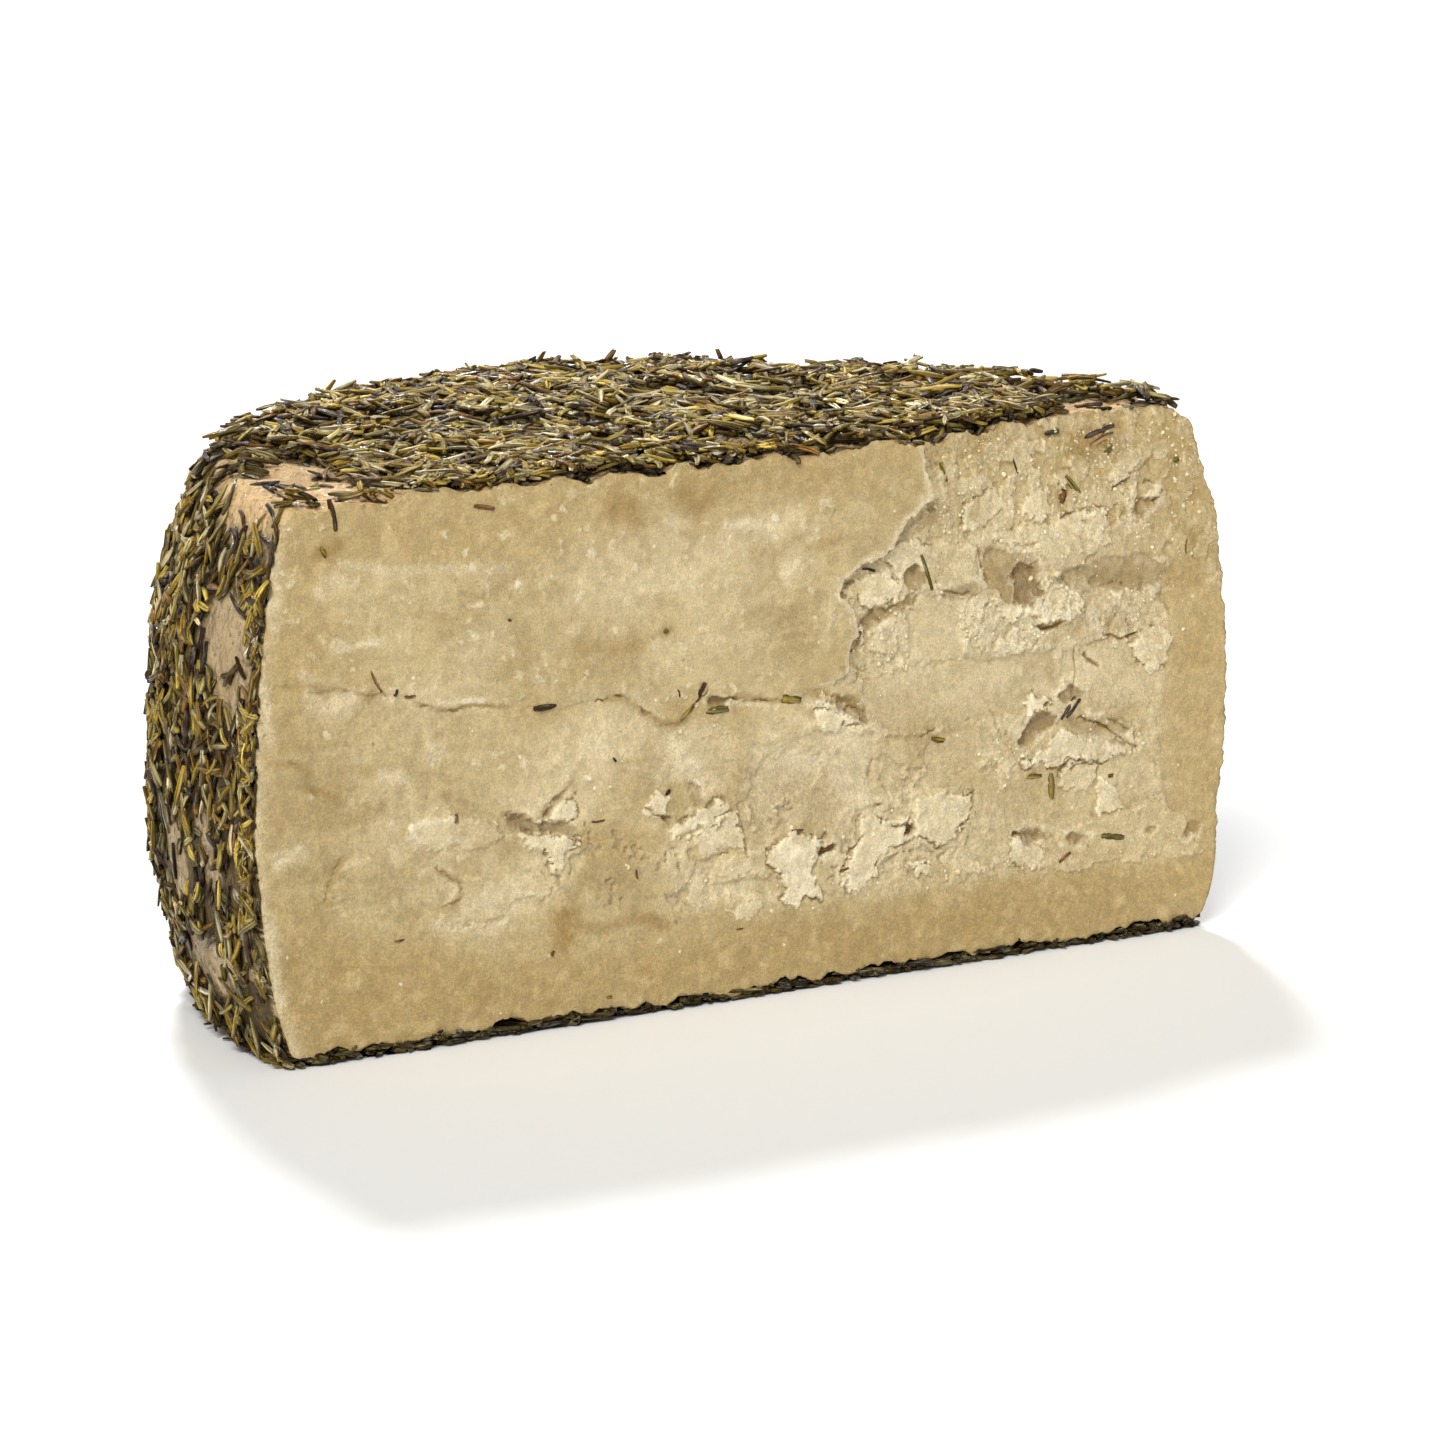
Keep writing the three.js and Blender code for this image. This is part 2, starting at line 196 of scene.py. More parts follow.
# Lines where the curds never knitted: points, and how open they are.
KNIT_LINES = [
    ([(-98, 60.5), (-90, 58.6), (-85, 59), (-80, 57.4), (-76, 57.2)], 0.3),
    ([(-76, 57.2), (-74, 57), (-69, 54.8), (-65, 53.2), (-58, 53.4), (-51, 52)], 0.45),
    ([(-34, 51.7), (-30, 51.9), (-27, 50.4), (-24, 48.3), (-22, 46.4), (-18, 45.9), (-16, 47.3),
      (-12.5, 50.5)], 0.6),
    ([(-8, 49), (-4, 48), (-1, 48), (5, 47.3), (10, 45.4), (16, 43.7), (20, 42), (23, 39.5),
      (27.5, 38.5)], 0.6),
    ([(27.5, 38.5), (34, 38.4), (36, 39.2), (43, 39.4)], 0.4),
    ([(-97, 49), (-93, 47.4), (-90.4, 46), (-90.6, 43.4), (-88, 42), (-85, 41)], 0.3),
    ([(-36, 58.6), (-31, 58.4), (-28, 59.6), (-24, 60.2)], 0.12),
]

# Zones of the torn surface: outline, step behind the surface round them, and how crumbly, white
# and grey they are.
ZONES = [
    dict(corners=[(30, 92), (84, 92), (91, 84), (95, 72), (84, 68), (76, 70), (71, 71), (57, 71.6),
                  (46, 70.8), (36, 71.6), (27, 72.6), (33, 79)],
         step=0.0, rough=0.7, white=0.22, grey=0.0),
    dict(corners=[(84, 92), (93, 84), (99, 64), (97, 52), (86, 52), (83, 58), (84, 66), (78, 72)],
         step=0.15, rough=0.5, white=0.12, grey=0.16),
    dict(corners=[(30, 70), (36, 70.6), (43, 69.4), (42.4, 66), (45.6, 62.4), (41, 61), (36, 62),
                  (31, 62.4)], step=-0.4, rough=0.2, white=0.32, grey=0.0),
    dict(corners=[(46, 70.8), (57, 71.6), (71.6, 71), (72.6, 68), (66, 64.6), (60, 63), (57, 66.6),
                  (55, 68.6), (50, 68.8)], step=-0.5, rough=0.45, white=0.36, grey=0.0),
    dict(corners=[(59, 62), (66, 63.6), (72, 65), (77, 64.6), (84, 63), (85, 59), (76, 58.2),
                  (68, 59), (62, 60)], step=0.3, rough=0.3, white=0.1, grey=0.34),
    dict(corners=[(56, 60.6), (60, 63), (64, 60), (66.4, 57), (63, 54), (57, 54.6), (54, 57.6)],
         step=-0.5, rough=1.0, white=0.62, grey=0.0),
    dict(corners=[(39, 58.4), (45, 60.5), (54, 58), (58.6, 53), (57, 50.2), (46, 49.8),
                  (40.5, 51.6)], step=-0.1, rough=0.9, white=0.62, grey=0.05),
    dict(corners=[(66, 60), (84, 60), (86, 54), (80, 51), (70, 50), (66, 54)],
         step=0.3, rough=0.75, white=0.34, grey=0.16),
    dict(corners=[(18, 61), (30, 61), (30, 52), (27, 50), (17, 49)],
         step=0.2, rough=0.8, white=0.4, grey=0.1),
    dict(corners=[(30, 62), (34, 62.4), (38, 59.6), (40.4, 55), (40, 50.4), (31, 50), (29, 56)],
         step=0.25, rough=0.03, white=0.26, grey=0.05),
    dict(corners=[(20, 49), (30, 50.4), (46, 49.8), (60, 50.2), (62.4, 46), (60, 40.6), (50, 39.6),
                  (44, 39.2), (30, 38.8), (24, 40.2), (20, 44)],
         step=0.3, rough=0.03, white=0.2, grey=0.1),
    dict(corners=[(66, 50), (74, 50.6), (80, 50), (86, 46), (93, 44), (93, 39), (80, 39.6),
                  (68, 41), (64, 44)], step=0.0, rough=0.05, white=0.3, grey=0.0),
    dict(corners=[(86, 58), (98, 58), (102, 36), (99, 12), (88, 14), (84, 22), (84, 40), (85, 50)],
         step=0.1, rough=0.1, white=0.1, grey=0.04),
    dict(corners=[(20, 38.6), (44, 39), (50, 36), (50, 30), (44, 28), (34, 29), (22, 29)],
         step=0.1, rough=0.06, white=0.18, grey=0.06),
    dict(corners=[(44, 39.4), (52, 39), (52, 31), (49, 29), (44, 32)],
         step=0.0, rough=0.55, white=0.34, grey=0.0),
    dict(corners=[(50, 29), (60, 30.4), (72, 30.6), (80, 30), (84, 22), (76, 20), (60, 20.6),
                  (50, 21)], step=0.15, rough=0.22, white=0.2, grey=0.05),
    dict(corners=[(57, 17), (70, 20), (84, 22), (90, 16), (93, 11), (87, 10.4), (83, 11.2),
                  (76, 12), (66, 11.6), (57, 12)], step=-0.35, rough=0.2, white=0.26, grey=0.0),
    dict(corners=[(-3, 40), (10, 41.4), (22, 40), (23, 30), (14, 26), (2, 26), (-6, 31)],
         step=0.25, rough=0.05, white=0.3, grey=0.12),
    dict(corners=[(-22, 44), (-14, 46), (-8, 45), (-6, 38), (-10, 33), (-18, 37), (-23, 36)],
         step=0.12, rough=0.3, white=0.32, grey=0.06),
    dict(corners=[(-18, 22), (-11, 20.4), (-10, 15), (-16, 14), (-19, 17)],
         step=0.2, rough=0.5, white=0.3, grey=0.1),
]

# Ragged pale flakes that stand proud of what was pulled away round them.
FLAKES = [
    dict(corners=[(0.5, 22), (2, 24), (6, 25), (11.6, 23.3), (10.5, 21), (9.8, 18), (11.6, 13.3),
                  (8, 13.7), (6, 12), (3.6, 13.7), (3.6, 18), (1.2, 19.5)], proud=0.65, white=0.62),
    dict(corners=[(20.5, 26), (25.3, 25), (29.5, 25), (31, 21), (25.3, 19.5), (22.6, 17.4),
                  (22, 14.7), (19, 12.6), (15.7, 14), (16.4, 17.4), (19, 21)],
         proud=0.6, white=0.5),
    dict(corners=[(31, 27.8), (36.4, 27.8), (43.3, 27), (42.6, 24.3), (39.8, 20.2), (36.4, 18.5),
                  (33.6, 20.5), (31.6, 21.6)], proud=0.5, white=0.42),
    dict(corners=[(-14.2, 29.4), (-10, 30), (-6.6, 29.6), (-5.4, 26), (-3.2, 22), (-5, 24),
                  (-9, 24.4), (-13, 23.6), (-14.6, 26)], proud=0.4, white=0.4),
    dict(corners=[(-16, 30), (-11, 32), (-8, 30.6), (-10, 28), (-15, 27.2), (-19.6, 26.6),
                  (-20, 28)], proud=0.45, white=0.5),
    dict(corners=[(-25.6, 32), (-22.4, 35.6), (-19.6, 33), (-20.6, 30.6), (-23.6, 31)],
         proud=0.4, white=0.45),
    dict(corners=[(-44, 32.6), (-42.6, 35.6), (-38.6, 36.4), (-37.6, 33.6), (-40, 32.2)],
         proud=0.45, white=0.5),
    dict(corners=[(-49, 31), (-45.8, 30.4), (-42, 30), (-38.6, 29.2), (-37, 28), (-40.6, 27),
                  (-40.4, 24.4), (-43, 24.6), (-44.6, 27.6), (-48, 29)], proud=0.45, white=0.42),
    dict(corners=[(-70.8, 34.4), (-68, 36), (-64, 35.6), (-60, 35), (-54, 33.6), (-53, 30.4),
                  (-58, 29.6), (-62, 31), (-66, 30.4), (-69.4, 32)], proud=0.3, white=0.2),
    dict(corners=[(-87, 24.6), (-86.6, 28), (-83, 31), (-78, 31), (-76, 28), (-80.4, 25.6),
                  (-83, 24)], proud=0.2, white=0.07),
    dict(corners=[(29.8, 17.4), (33.6, 17), (34.6, 14.6), (31, 14.2)], proud=0.4, white=0.5),
    dict(corners=[(41, 15), (44.4, 15.6), (46.4, 13.6), (43, 13)], proud=0.3, white=0.3),
    dict(corners=[(51, 19), (54, 18), (59, 15.6), (58, 13), (54, 12.6), (51.4, 15)],
         proud=0.4, white=0.5),
    dict(corners=[(10, 45), (13, 45.6), (18, 44), (19, 42), (13, 41.4), (10.6, 42.6)],
         proud=0.5, white=0.62),
    dict(corners=[(10, 47.6), (13, 47), (15.4, 45.6), (13, 45), (10, 46)], proud=0.4, white=0.4),
    dict(corners=[(-8, 13.6), (-2, 14.6), (-0.6, 13), (-3, 11.6), (-6, 12)], proud=0.25, white=0.4),
    dict(corners=[(23.4, 69.3), (26, 71.6), (30, 72), (33.5, 70.5), (31.5, 68.2), (29, 66),
                  (26.5, 65.7)], proud=2.1, white=0.36),
    dict(corners=[(17, 65.8), (21, 67), (24, 66.4), (28.2, 64), (27, 61.6), (23, 61), (19, 61.6)],
         proud=1.5, white=0.45),
    dict(corners=[(15, 64.6), (17.4, 66.6), (19.6, 65.4), (18, 62.4), (16.6, 62)],
         proud=1.9, white=0.2),
    dict(corners=[(59, 34.8), (62, 35.8), (66, 34.2), (70, 33.2), (74, 32.2), (77, 30.8), (73, 30),
                  (66, 30.8), (60.4, 30.4), (54, 30.8), (58, 33)], proud=0.8, white=0.55),
    dict(corners=[(62, 29.4), (66, 30), (69.6, 28.4), (68, 25), (63.4, 25.6), (61.2, 27)],
         proud=0.5, white=0.3),
    dict(corners=[(70, 27), (74, 25), (76, 21), (71, 20.4), (69.6, 24)], proud=0.35, white=0.5),
    dict(corners=[(76.6, 49), (80, 51.6), (83.6, 51.8), (85.6, 50), (84.4, 47), (84, 44.6),
                  (81, 43.6), (79.8, 45.4)], proud=0.5, white=0.4),
    dict(corners=[(54, 41.6), (57, 42.4), (59, 41), (57.4, 39.8), (55, 39.6)],
         proud=0.6, white=0.7),
    dict(corners=[(72.6, 81.6), (76, 83), (78.4, 82), (75.6, 78.4), (72.4, 77)],
         proud=0.6, white=0.25),
    dict(corners=[(59.6, 79.4), (62, 80.6), (63, 78.6), (61, 77)], proud=0.3, white=0.3),
    dict(corners=[(57, 70), (61, 72.6), (66, 73), (71, 72.6), (70, 70), (63, 69.4)],
         proud=0.5, white=0.4),
    dict(corners=[(40, 76), (46, 79), (49, 76.4), (45, 73), (41, 73)], proud=0.45, white=0.35),
    dict(corners=[(52, 76), (58, 77.6), (59, 73.6), (54, 72.6)], proud=0.35, white=0.3),
    dict(corners=[(78, 76.4), (82.6, 76), (82, 74), (79, 73.6)], proud=0.6, white=0.35),
    dict(corners=[(-66, 18.4), (-60, 17.2), (-55, 17), (-51, 18.6), (-49, 20.6), (-42, 21),
                  (-44, 24), (-52, 25), (-61, 24.6), (-65, 21)], proud=0.3, white=0.12),
    dict(corners=[(-10, 19.2), (0, 18.8), (1, 22), (-3, 23.4), (-9, 21.6)], proud=0.3, white=0.16),
]

# Hollows: outline, depth below the surface round them, how grey and glassy their floor is.
HOLLOWS = [
    dict(corners=[(43, 68.6), (45.5, 69.8), (50, 68), (54.6, 67.4), (57.6, 62.4), (57, 58.4),
                  (52, 58), (47.4, 60.6), (45, 64.2)], deep=0.4, grey=0.42),
    dict(corners=[(50.6, 64), (52.6, 66), (56, 64.4), (57.4, 60), (55, 57.6), (51.4, 59)],
         deep=1.1, grey=1.0),
    dict(corners=[(67, 61.6), (70, 62.8), (76, 64), (79, 63.6), (82, 61.8), (82, 58.6), (78, 57.8),
                  (72, 58.6), (68.5, 59)], deep=0.5, grey=0.5),
    dict(corners=[(77, 73), (77.6, 79), (80.4, 81.4), (85, 80.2), (83.6, 76.6), (79.6, 75),
                  (79.4, 71.6), (77, 71)], deep=0.4, grey=0.25),
    dict(corners=[(76.4, 71.4), (76.6, 74.6), (80, 75), (83, 74), (81, 72.6), (79, 71)],
         deep=0.7, grey=0.6),
    dict(corners=[(52.4, 35), (53.4, 37), (55.6, 39.6), (58.6, 40), (61, 38.4), (59.6, 36.4),
                  (57, 36), (55, 34), (53.4, 33.8)], deep=1.1, grey=0.8),
    dict(corners=[(70, 53), (72.6, 56), (77.8, 55), (78.4, 51.6), (74, 50.4), (71, 51)],
         deep=0.45, grey=0.35),
    dict(corners=[(18.6, 60), (22, 61.6), (26, 61), (30.6, 62.8), (31, 61), (27, 58.6), (24, 58.8),
                  (20, 57), (18.4, 58)], deep=0.8, grey=0.5),
    dict(corners=[(17.2, 56.8), (19, 56), (18.8, 53.6), (17.2, 54)], deep=0.5, grey=0.3),
    dict(corners=[(35, 62.6), (38, 63), (42, 63.4), (44.8, 62.4), (43, 60.6), (38, 60.6),
                  (35.6, 61.2)], deep=0.8, grey=0.55),
    dict(corners=[(27.4, 66.4), (30, 67.8), (32.6, 66), (31.6, 63), (28.8, 62.6)],
         deep=0.9, grey=0.6),
    dict(corners=[(13.4, 47.4), (17.4, 47.4), (20, 45), (21.4, 41.6), (18, 42), (15, 44),
                  (13, 45.6)], deep=0.8, grey=0.6),
    dict(corners=[(-12.4, 49.6), (-11, 50.8), (-8.4, 50.4), (-7.8, 48.4), (-9, 47), (-12, 47.4)],
         deep=1.5, grey=0.6),
    dict(corners=[(-53.4, 34.4), (-50.6, 34.8), (-46, 33.2), (-43, 32.8), (-40, 32.5), (-38.5, 31),
                  (-39.6, 29.6), (-43, 30.4), (-47.4, 30.9), (-51.6, 32.2)], deep=1.0, grey=0.85),
    dict(corners=[(-46.6, 33.4), (-43.6, 35.8), (-40.6, 37.8), (-39.2, 40), (-38.2, 38.8),
                  (-41, 35.8), (-44, 33.2)], deep=0.8, grey=0.6),
    dict(corners=[(51.6, 19.4), (54, 20.2), (58, 19.4), (60.4, 18), (57, 16.8), (53.6, 16.8)],
         deep=0.9, grey=0.7),
    dict(corners=[(62.8, 17.8), (65, 18.2), (69, 17), (66, 15.9), (63.2, 16.4)],
         deep=0.8, grey=0.7),
    dict(corners=[(56.6, 54.8), (60, 55.2), (62.8, 54.6), (60, 53.2), (57.4, 53.6)],
         deep=0.9, grey=0.6),
    dict(corners=[(10.4, 20.8), (12, 21.8), (14.6, 22), (14.4, 20.6), (12, 20.2)],
         deep=1.3, grey=0.7),
    dict(corners=[(28.4, 21.6), (28.8, 23.6), (30.6, 23.8), (31.2, 21.8), (30, 21)],
         deep=1.3, grey=0.7),
    dict(corners=[(20.8, 27.4), (23, 28), (24.6, 27.4), (22.6, 26.8)], deep=0.8, grey=0.5),
    dict(corners=[(15.2, 17), (16, 18), (17, 17.8), (16, 16.9)], deep=0.9, grey=0.5),
    dict(corners=[(42.2, 26.6), (43, 27.4), (43.9, 27), (43, 26.2)], deep=0.7, grey=0.4),
    dict(corners=[(80, 16), (81, 17.2), (83, 16.8), (82, 15.8)], deep=0.5, grey=0.4),
    dict(corners=[(88.6, 15.4), (91, 17), (94, 16.4), (92, 14.4), (89, 14.2)], deep=0.5, grey=0.5),
    dict(corners=[(-20.6, 34.2), (-19.8, 35.2), (-18.8, 34.8), (-19.6, 33.8)], deep=1.0, grey=0.5),
    dict(corners=[(-21.6, 30.4), (-20.4, 31), (-19, 30), (-19.4, 29), (-20.8, 29.4)],
         deep=0.9, grey=0.8),
    dict(corners=[(-20, 27), (-16, 28), (-12.6, 28.4), (-11, 29.2), (-12, 27.4), (-17, 26.6)],
         deep=0.5, grey=0.35),
    dict(corners=[(-25, 49.4), (-23.4, 49.2), (-23, 48), (-24.6, 48)], deep=0.8, grey=0.4),
    dict(corners=[(-16, 36), (-13.4, 35.4), (-12.6, 31.6), (-14, 31.4), (-15.6, 33)],
         deep=0.35, grey=0.45),
    dict(corners=[(60.6, 42), (63.6, 43.6), (66.6, 42), (66, 41), (62.4, 40)], deep=0.7, grey=0.75),
    dict(corners=[(61, 38), (66, 38), (71, 37.4), (78, 35.6), (76, 33.6), (70, 34.4), (64, 35.6)],
         deep=0.35, grey=0.45),
    dict(corners=[(64.8, 71.4), (66, 72), (68, 71.6), (66.6, 70.8)], deep=0.6, grey=0.4),
]

# Thin cracks and slits: their line, width and depth.
SLITS = [
    ([(66.6, 48.6), (67.6, 47.2), (69.9, 46)], 0.45, 0.9),
    ([(64.4, 50), (64.8, 46), (64.4, 42)], 0.3, 0.4),
    ([(26, 23.8), (28, 23.4), (30, 24.4)], 0.35, 0.7),
    ([(17, 20), (19, 21), (20, 22.6)], 0.35, 0.5),
    ([(34.6, 64), (35.6, 62.4), (42, 61.4)], 0.35, 0.5),
    ([(-24.6, 32.4), (-22.6, 31.4), (-19.4, 30)], 0.4, 0.7),
    ([(-83.7, 31.4), (-86.6, 27), (-87, 24.2)], 0.4, 0.35),
    ([(-65.4, 27.4), (-61, 24.4), (-60.8, 22), (-64.4, 20.8)], 0.4, 0.4),
    ([(-12.2, 15), (-13.8, 1.4)], 0.3, 0.1),
    ([(-5.4, 27), (-4.2, 25.4), (-4, 22)], 0.35, 0.45),
    ([(-10.6, 29.4), (-7, 29.8), (-5.4, 29.2)], 0.35, 0.45),
    ([(47, 41), (49.4, 36), (51, 33.6)], 0.35, 0.3),
    ([(72, 37), (78, 33.6), (79, 31)], 0.35, 0.45),
    ([(64, 29), (66, 29.8), (69, 29.4)], 0.35, 0.5),
    ([(-61.6, 34.6), (-62, 36)], 0.4, 0.4),
    ([(12, 37), (16, 34), (19, 29.6)], 0.3, 0.12),
    ([(66, 37.6), (70, 36.2), (75.6, 32.8), (78.8, 30.8)], 0.35, 0.6),
    ([(71, 51.6), (74.6, 50.3), (78, 51)], 0.35, 0.6),
    ([(43.4, 69.6), (43.8, 67), (46, 63)], 0.35, 0.5),
    ([(55.6, 54.4), (58.6, 53.6), (61.4, 54.6)], 0.35, 0.5),
]

# Yellow-brown smears in the paste: their line, width and strength.
SMEARS = [
    ([(-39, 17), (-38, 14.6), (-33, 13.4), (-27, 15), (-24, 14), (-20, 12.7)], 1.1, 0.7),
    ([(-41.4, 16), (-40.4, 12.6)], 1.8, 0.8),
    ([(-31, 83), (-27, 81.6)], 2.6, 0.8),
    ([(-17, 83), (-14, 81.6)], 2.6, 0.8),
    ([(-88, 81), (-84.6, 81.4)], 1.1, 1.0),
    ([(-3, 72.6), (6, 74)], 1.8, 0.5),
    ([(-38, 60.4), (-26, 59.6)], 1.4, 0.5),
    ([(-80, 38), (-77, 38.6)], 1.6, 0.5),
    ([(33, 75), (35, 76)], 1.6, 0.6),
    ([(-21.6, 61.5), (-20.4, 61.4)], 0.8, 1.0),
    ([(-79.4, 57), (-78.4, 57.2)], 0.8, 1.0),
    ([(64, 85), (72, 84)], 2.4, 0.7),
    ([(61, 76), (62, 75)], 1.6, 0.8),
    ([(50, 36), (51, 33)], 1.2, 0.5),
    ([(-91, 61.6), (-88, 58.8), (-84.6, 58.6), (-81, 57.8), (-76, 57.2)], 0.5, 0.6),
    ([(-70.4, 55), (-66.8, 53.9), (-64.6, 53.1), (-59, 53.5), (-53, 52.5)], 0.4, 0.55),
    ([(-33, 51.2), (-30, 51.6), (-26.4, 49.2), (-24, 48), (-21.7, 46.3), (-17.4, 46)], 0.6, 0.75),
    ([(-8, 49.4), (-4, 48.6), (2.4, 47.4)], 0.5, 0.7),
    ([(7, 48.6), (12, 47), (17.6, 45.2)], 0.8, 0.5),
    ([(-98, 48.4), (-91.6, 47.2), (-90, 45.6), (-90.8, 43.4), (-87, 42), (-84, 40.6)], 0.7, 0.5),
    ([(-65.3, 26.8), (-61, 24.6), (-60.8, 22.6), (-62.6, 20.8), (-65.4, 20.6)], 0.5, 0.7),
    ([(-83.6, 31.4), (-85.7, 27.7), (-86.8, 24.2)], 0.5, 0.6),
    ([(-33, 41), (-23, 40.6)], 0.5, 0.35),
    ([(-36, 58.6), (-31, 58.4), (-28, 59.8), (-20, 61.5)], 0.5, 0.4),
    ([(7.4, 72.4), (14, 73.4)], 1.0, 0.5),
    ([(-30.4, 82.4), (-28, 82)], 1.6, 0.6),
    ([(-15.6, 81.2), (-14.4, 81)], 1.4, 0.7),
    ([(-59, 71), (-58, 70.8)], 0.9, 0.5),
    ([(-65.4, 68), (-64.4, 68)], 1.2, 0.35),
    ([(-41, 65), (-39.4, 66.8)], 1.0, 0.35),
    ([(-80, 45.2), (-79.2, 44.8)], 0.7, 0.6),
    ([(-64.8, 39.6), (-64, 39.2)], 0.8, 0.6),
    ([(-88.4, 80.8), (-86, 80.8)], 1.2, 1.0),
    ([(26, 38.8), (35, 38.2), (44, 39)], 0.5, 0.5),
    ([(42, 75), (44, 78)], 1.0, 0.5),
    ([(31.4, 74), (36, 76)], 1.6, 0.5),
]

# Small pale marks in the smooth part of the cut: their line, width and strength.
SPOTS = [
    ([(-84.7, 79.4), (-77.6, 77), (-72.6, 76.6), (-63, 75.9), (-53, 75)], 0.8, 0.28),
    ([(-86.6, 75.4), (-83.4, 75.8)], 1.7, 0.28),
    ([(-88.6, 74.8), (-88, 74.6)], 0.9, 0.45),
    ([(-80.6, 65.5), (-77, 65.6)], 0.6, 0.65),
    ([(-50.5, 72.6), (-50.3, 72.2)], 0.6, 0.8),
    ([(-58.6, 69.5), (-57.4, 69.7)], 0.5, 0.7),
    ([(-36.2, 75.9), (-35.6, 75.7)], 0.55, 0.8),
    ([(-89.6, 57.6), (-86, 56.4), (-82, 56.6)], 1.8, 0.3),
    ([(-91.6, 61.8), (-89.6, 60.8)], 0.8, 0.35),
    ([(-75.5, 43.6), (-72.6, 43.2)], 1.1, 0.4),
    ([(-66.4, 46), (-65.2, 46.6)], 1.4, 0.5),
    ([(-58.4, 44), (-57.8, 43.8)], 0.6, 0.5),
    ([(-54.4, 44.8), (-53.6, 44.9)], 0.6, 0.5),
    ([(-48.8, 42.6), (-48.4, 42.8)], 0.6, 0.6),
    ([(-95.4, 32.4), (-91.6, 32.8)], 1.6, 0.45),
    ([(-36.2, 39), (-35.8, 38.8)], 0.6, 0.9),
    ([(-70.4, 35), (-66, 35.2), (-62, 35)], 0.8, 0.35),
    ([(-70.6, 33.6), (-68.6, 31.6)], 0.9, 0.4),
    ([(-36.4, 43.8), (-33.6, 43)], 1.6, 0.35),
    ([(-98.4, 60), (-97.4, 52)], 1.0, 0.3),
    ([(-97.4, 22), (-96, 10)], 1.2, 0.3),
    ([(-65.4, 54.4), (-61, 54.1), (-57, 53.9)], 0.5, 0.4),
    ([(-66, 18.2), (-58, 16.6), (-52.6, 16.6), (-50, 19.4), (-48.6, 20.8), (-42, 20.8)], 0.6, 0.4),
    ([(-20.6, 79.4), (-16.8, 79.2)], 1.2, 0.3),
    ([(-9, 78), (-4, 77.6), (0, 76.6)], 0.8, 0.45),
    ([(0.6, 78.2), (1.2, 78)], 0.6, 0.8),
    ([(4, 78.6), (6, 78.8)], 0.7, 0.3),
    ([(2.6, 68.6), (3.4, 68.4)], 0.8, 0.6),
    ([(4.6, 70.4), (6.2, 69.6)], 1.8, 0.25),
    ([(-14, 61.4), (-13, 61)], 0.5, 0.5),
    ([(-19, 43), (-17, 40), (-18, 37.6)], 1.2, 0.3),
    ([(-15.6, 38.6), (-13.6, 35), (-12.8, 32)], 1.4, 0.35),
    ([(-8, 48.4), (-4, 47.6), (0, 47)], 0.5, 0.4),
    ([(8, 46.6), (12, 45.6)], 0.8, 0.4),
]

# Broad soft patches of creamier paste, and of duller and yellower paste, the duller partly painted
# shade round bedded needles and hollows: their line, half width and strength.
CREAMY = [
    ([(-76, 36), (-70, 31), (-62, 26)], 7, 0.5),
    ([(-61, 19), (-50, 21), (-42, 26), (-40, 32)], 6, 0.8),
    ([(-46, 36), (-40, 43), (-25, 45)], 6, 0.6),
    ([(-20, 25), (-10, 20), (4, 18), (14, 18), (25, 18)], 6, 0.8),
    ([(2, 44), (12, 39), (18, 35), (20, 28)], 5, 0.9),
    ([(31, 25), (35, 20)], 4, 0.5),
    ([(26, 48), (40, 47), (50, 45), (63, 45)], 6, 0.55),
    ([(-34, 69), (-22, 73), (-10, 70), (3, 76)], 7, 0.5),
    ([(-70, 55), (-62, 57), (-56, 65)], 4.5, 0.4),
    ([(-90, 56), (-84, 57)], 3, 0.35),
    ([(33, 59), (38, 54)], 3, 0.45),
    ([(67, 58), (72, 54)], 3.5, 0.55),
    ([(-20, 56), (-4, 56)], 5, 0.3),
    ([(50, 36), (52, 31)], 2.5, 0.5),
    ([(76, 28), (82, 22)], 4, 0.3),
]
DULL_AND_SHADED = [
    ([(-93, 87), (-90, 78), (-91, 66), (-94, 56)], 7, 0.75),
    ([(-86, 82), (-66, 81), (-44, 80.5)], 4.5, 0.7),
    ([(-81, 60), (-78, 60)], 3, 0.6),
    ([(-49, 52.5), (-43, 51)], 3.5, 0.55),
    ([(-36, 58), (-40, 54)], 4, 0.3),
    ([(-18, 48.6), (-8, 47)], 3.4, 0.7),
    ([(3, 49.6), (9, 48.6)], 3.5, 0.45),
    ([(64, 80), (71, 83), (78, 85)], 5, 0.6),
    ([(33, 38), (38, 33), (47, 29.6)], 4, 0.6),
    ([(58, 38), (66, 36.6), (78, 36)], 4, 0.7),
    ([(-36, 28), (-24, 27)], 3.6, 0.75),
    ([(68, 58.6), (82, 58.6)], 3, 0.5),
    ([(-41, 16), (-40, 12)], 3, 0.8),
    ([(-14, 32), (-6, 36)], 4, 0.45),
    ([(8, 80), (14, 72)], 5, 0.35),
    ([(90, 56), (88, 40), (90, 20)], 8, 0.5),
    ([(54, 27), (58, 25), (62, 18), (74, 15)], 5, 0.5),
    ([(-98, 20), (-82, 9), (-62, 6)], 8, 0.6),
    ([(62, 7), (80, 6), (94, 7)], 5, 0.6),
    ([(-94, 40), (-86, 38)], 5, 0.3),
]


def tear_depth(x, h):
    """How far the torn paste lies behind the knife's plane: most at the upper right corner."""
    near_slab = 0.25 + 1.5 * smooth(50, 76, h)
    near_rim = 2.2 + 1.8 * smooth(40, 66, h) + 5.5 * np.clip((h - 66) / 22, 0, 1) ** 1.3
    depth = mix(near_slab, near_rim, smooth(25, 92, x)) * smooth(2, 24, h)
    return depth * smooth(6, 26, x + 0.25 * h - 10)


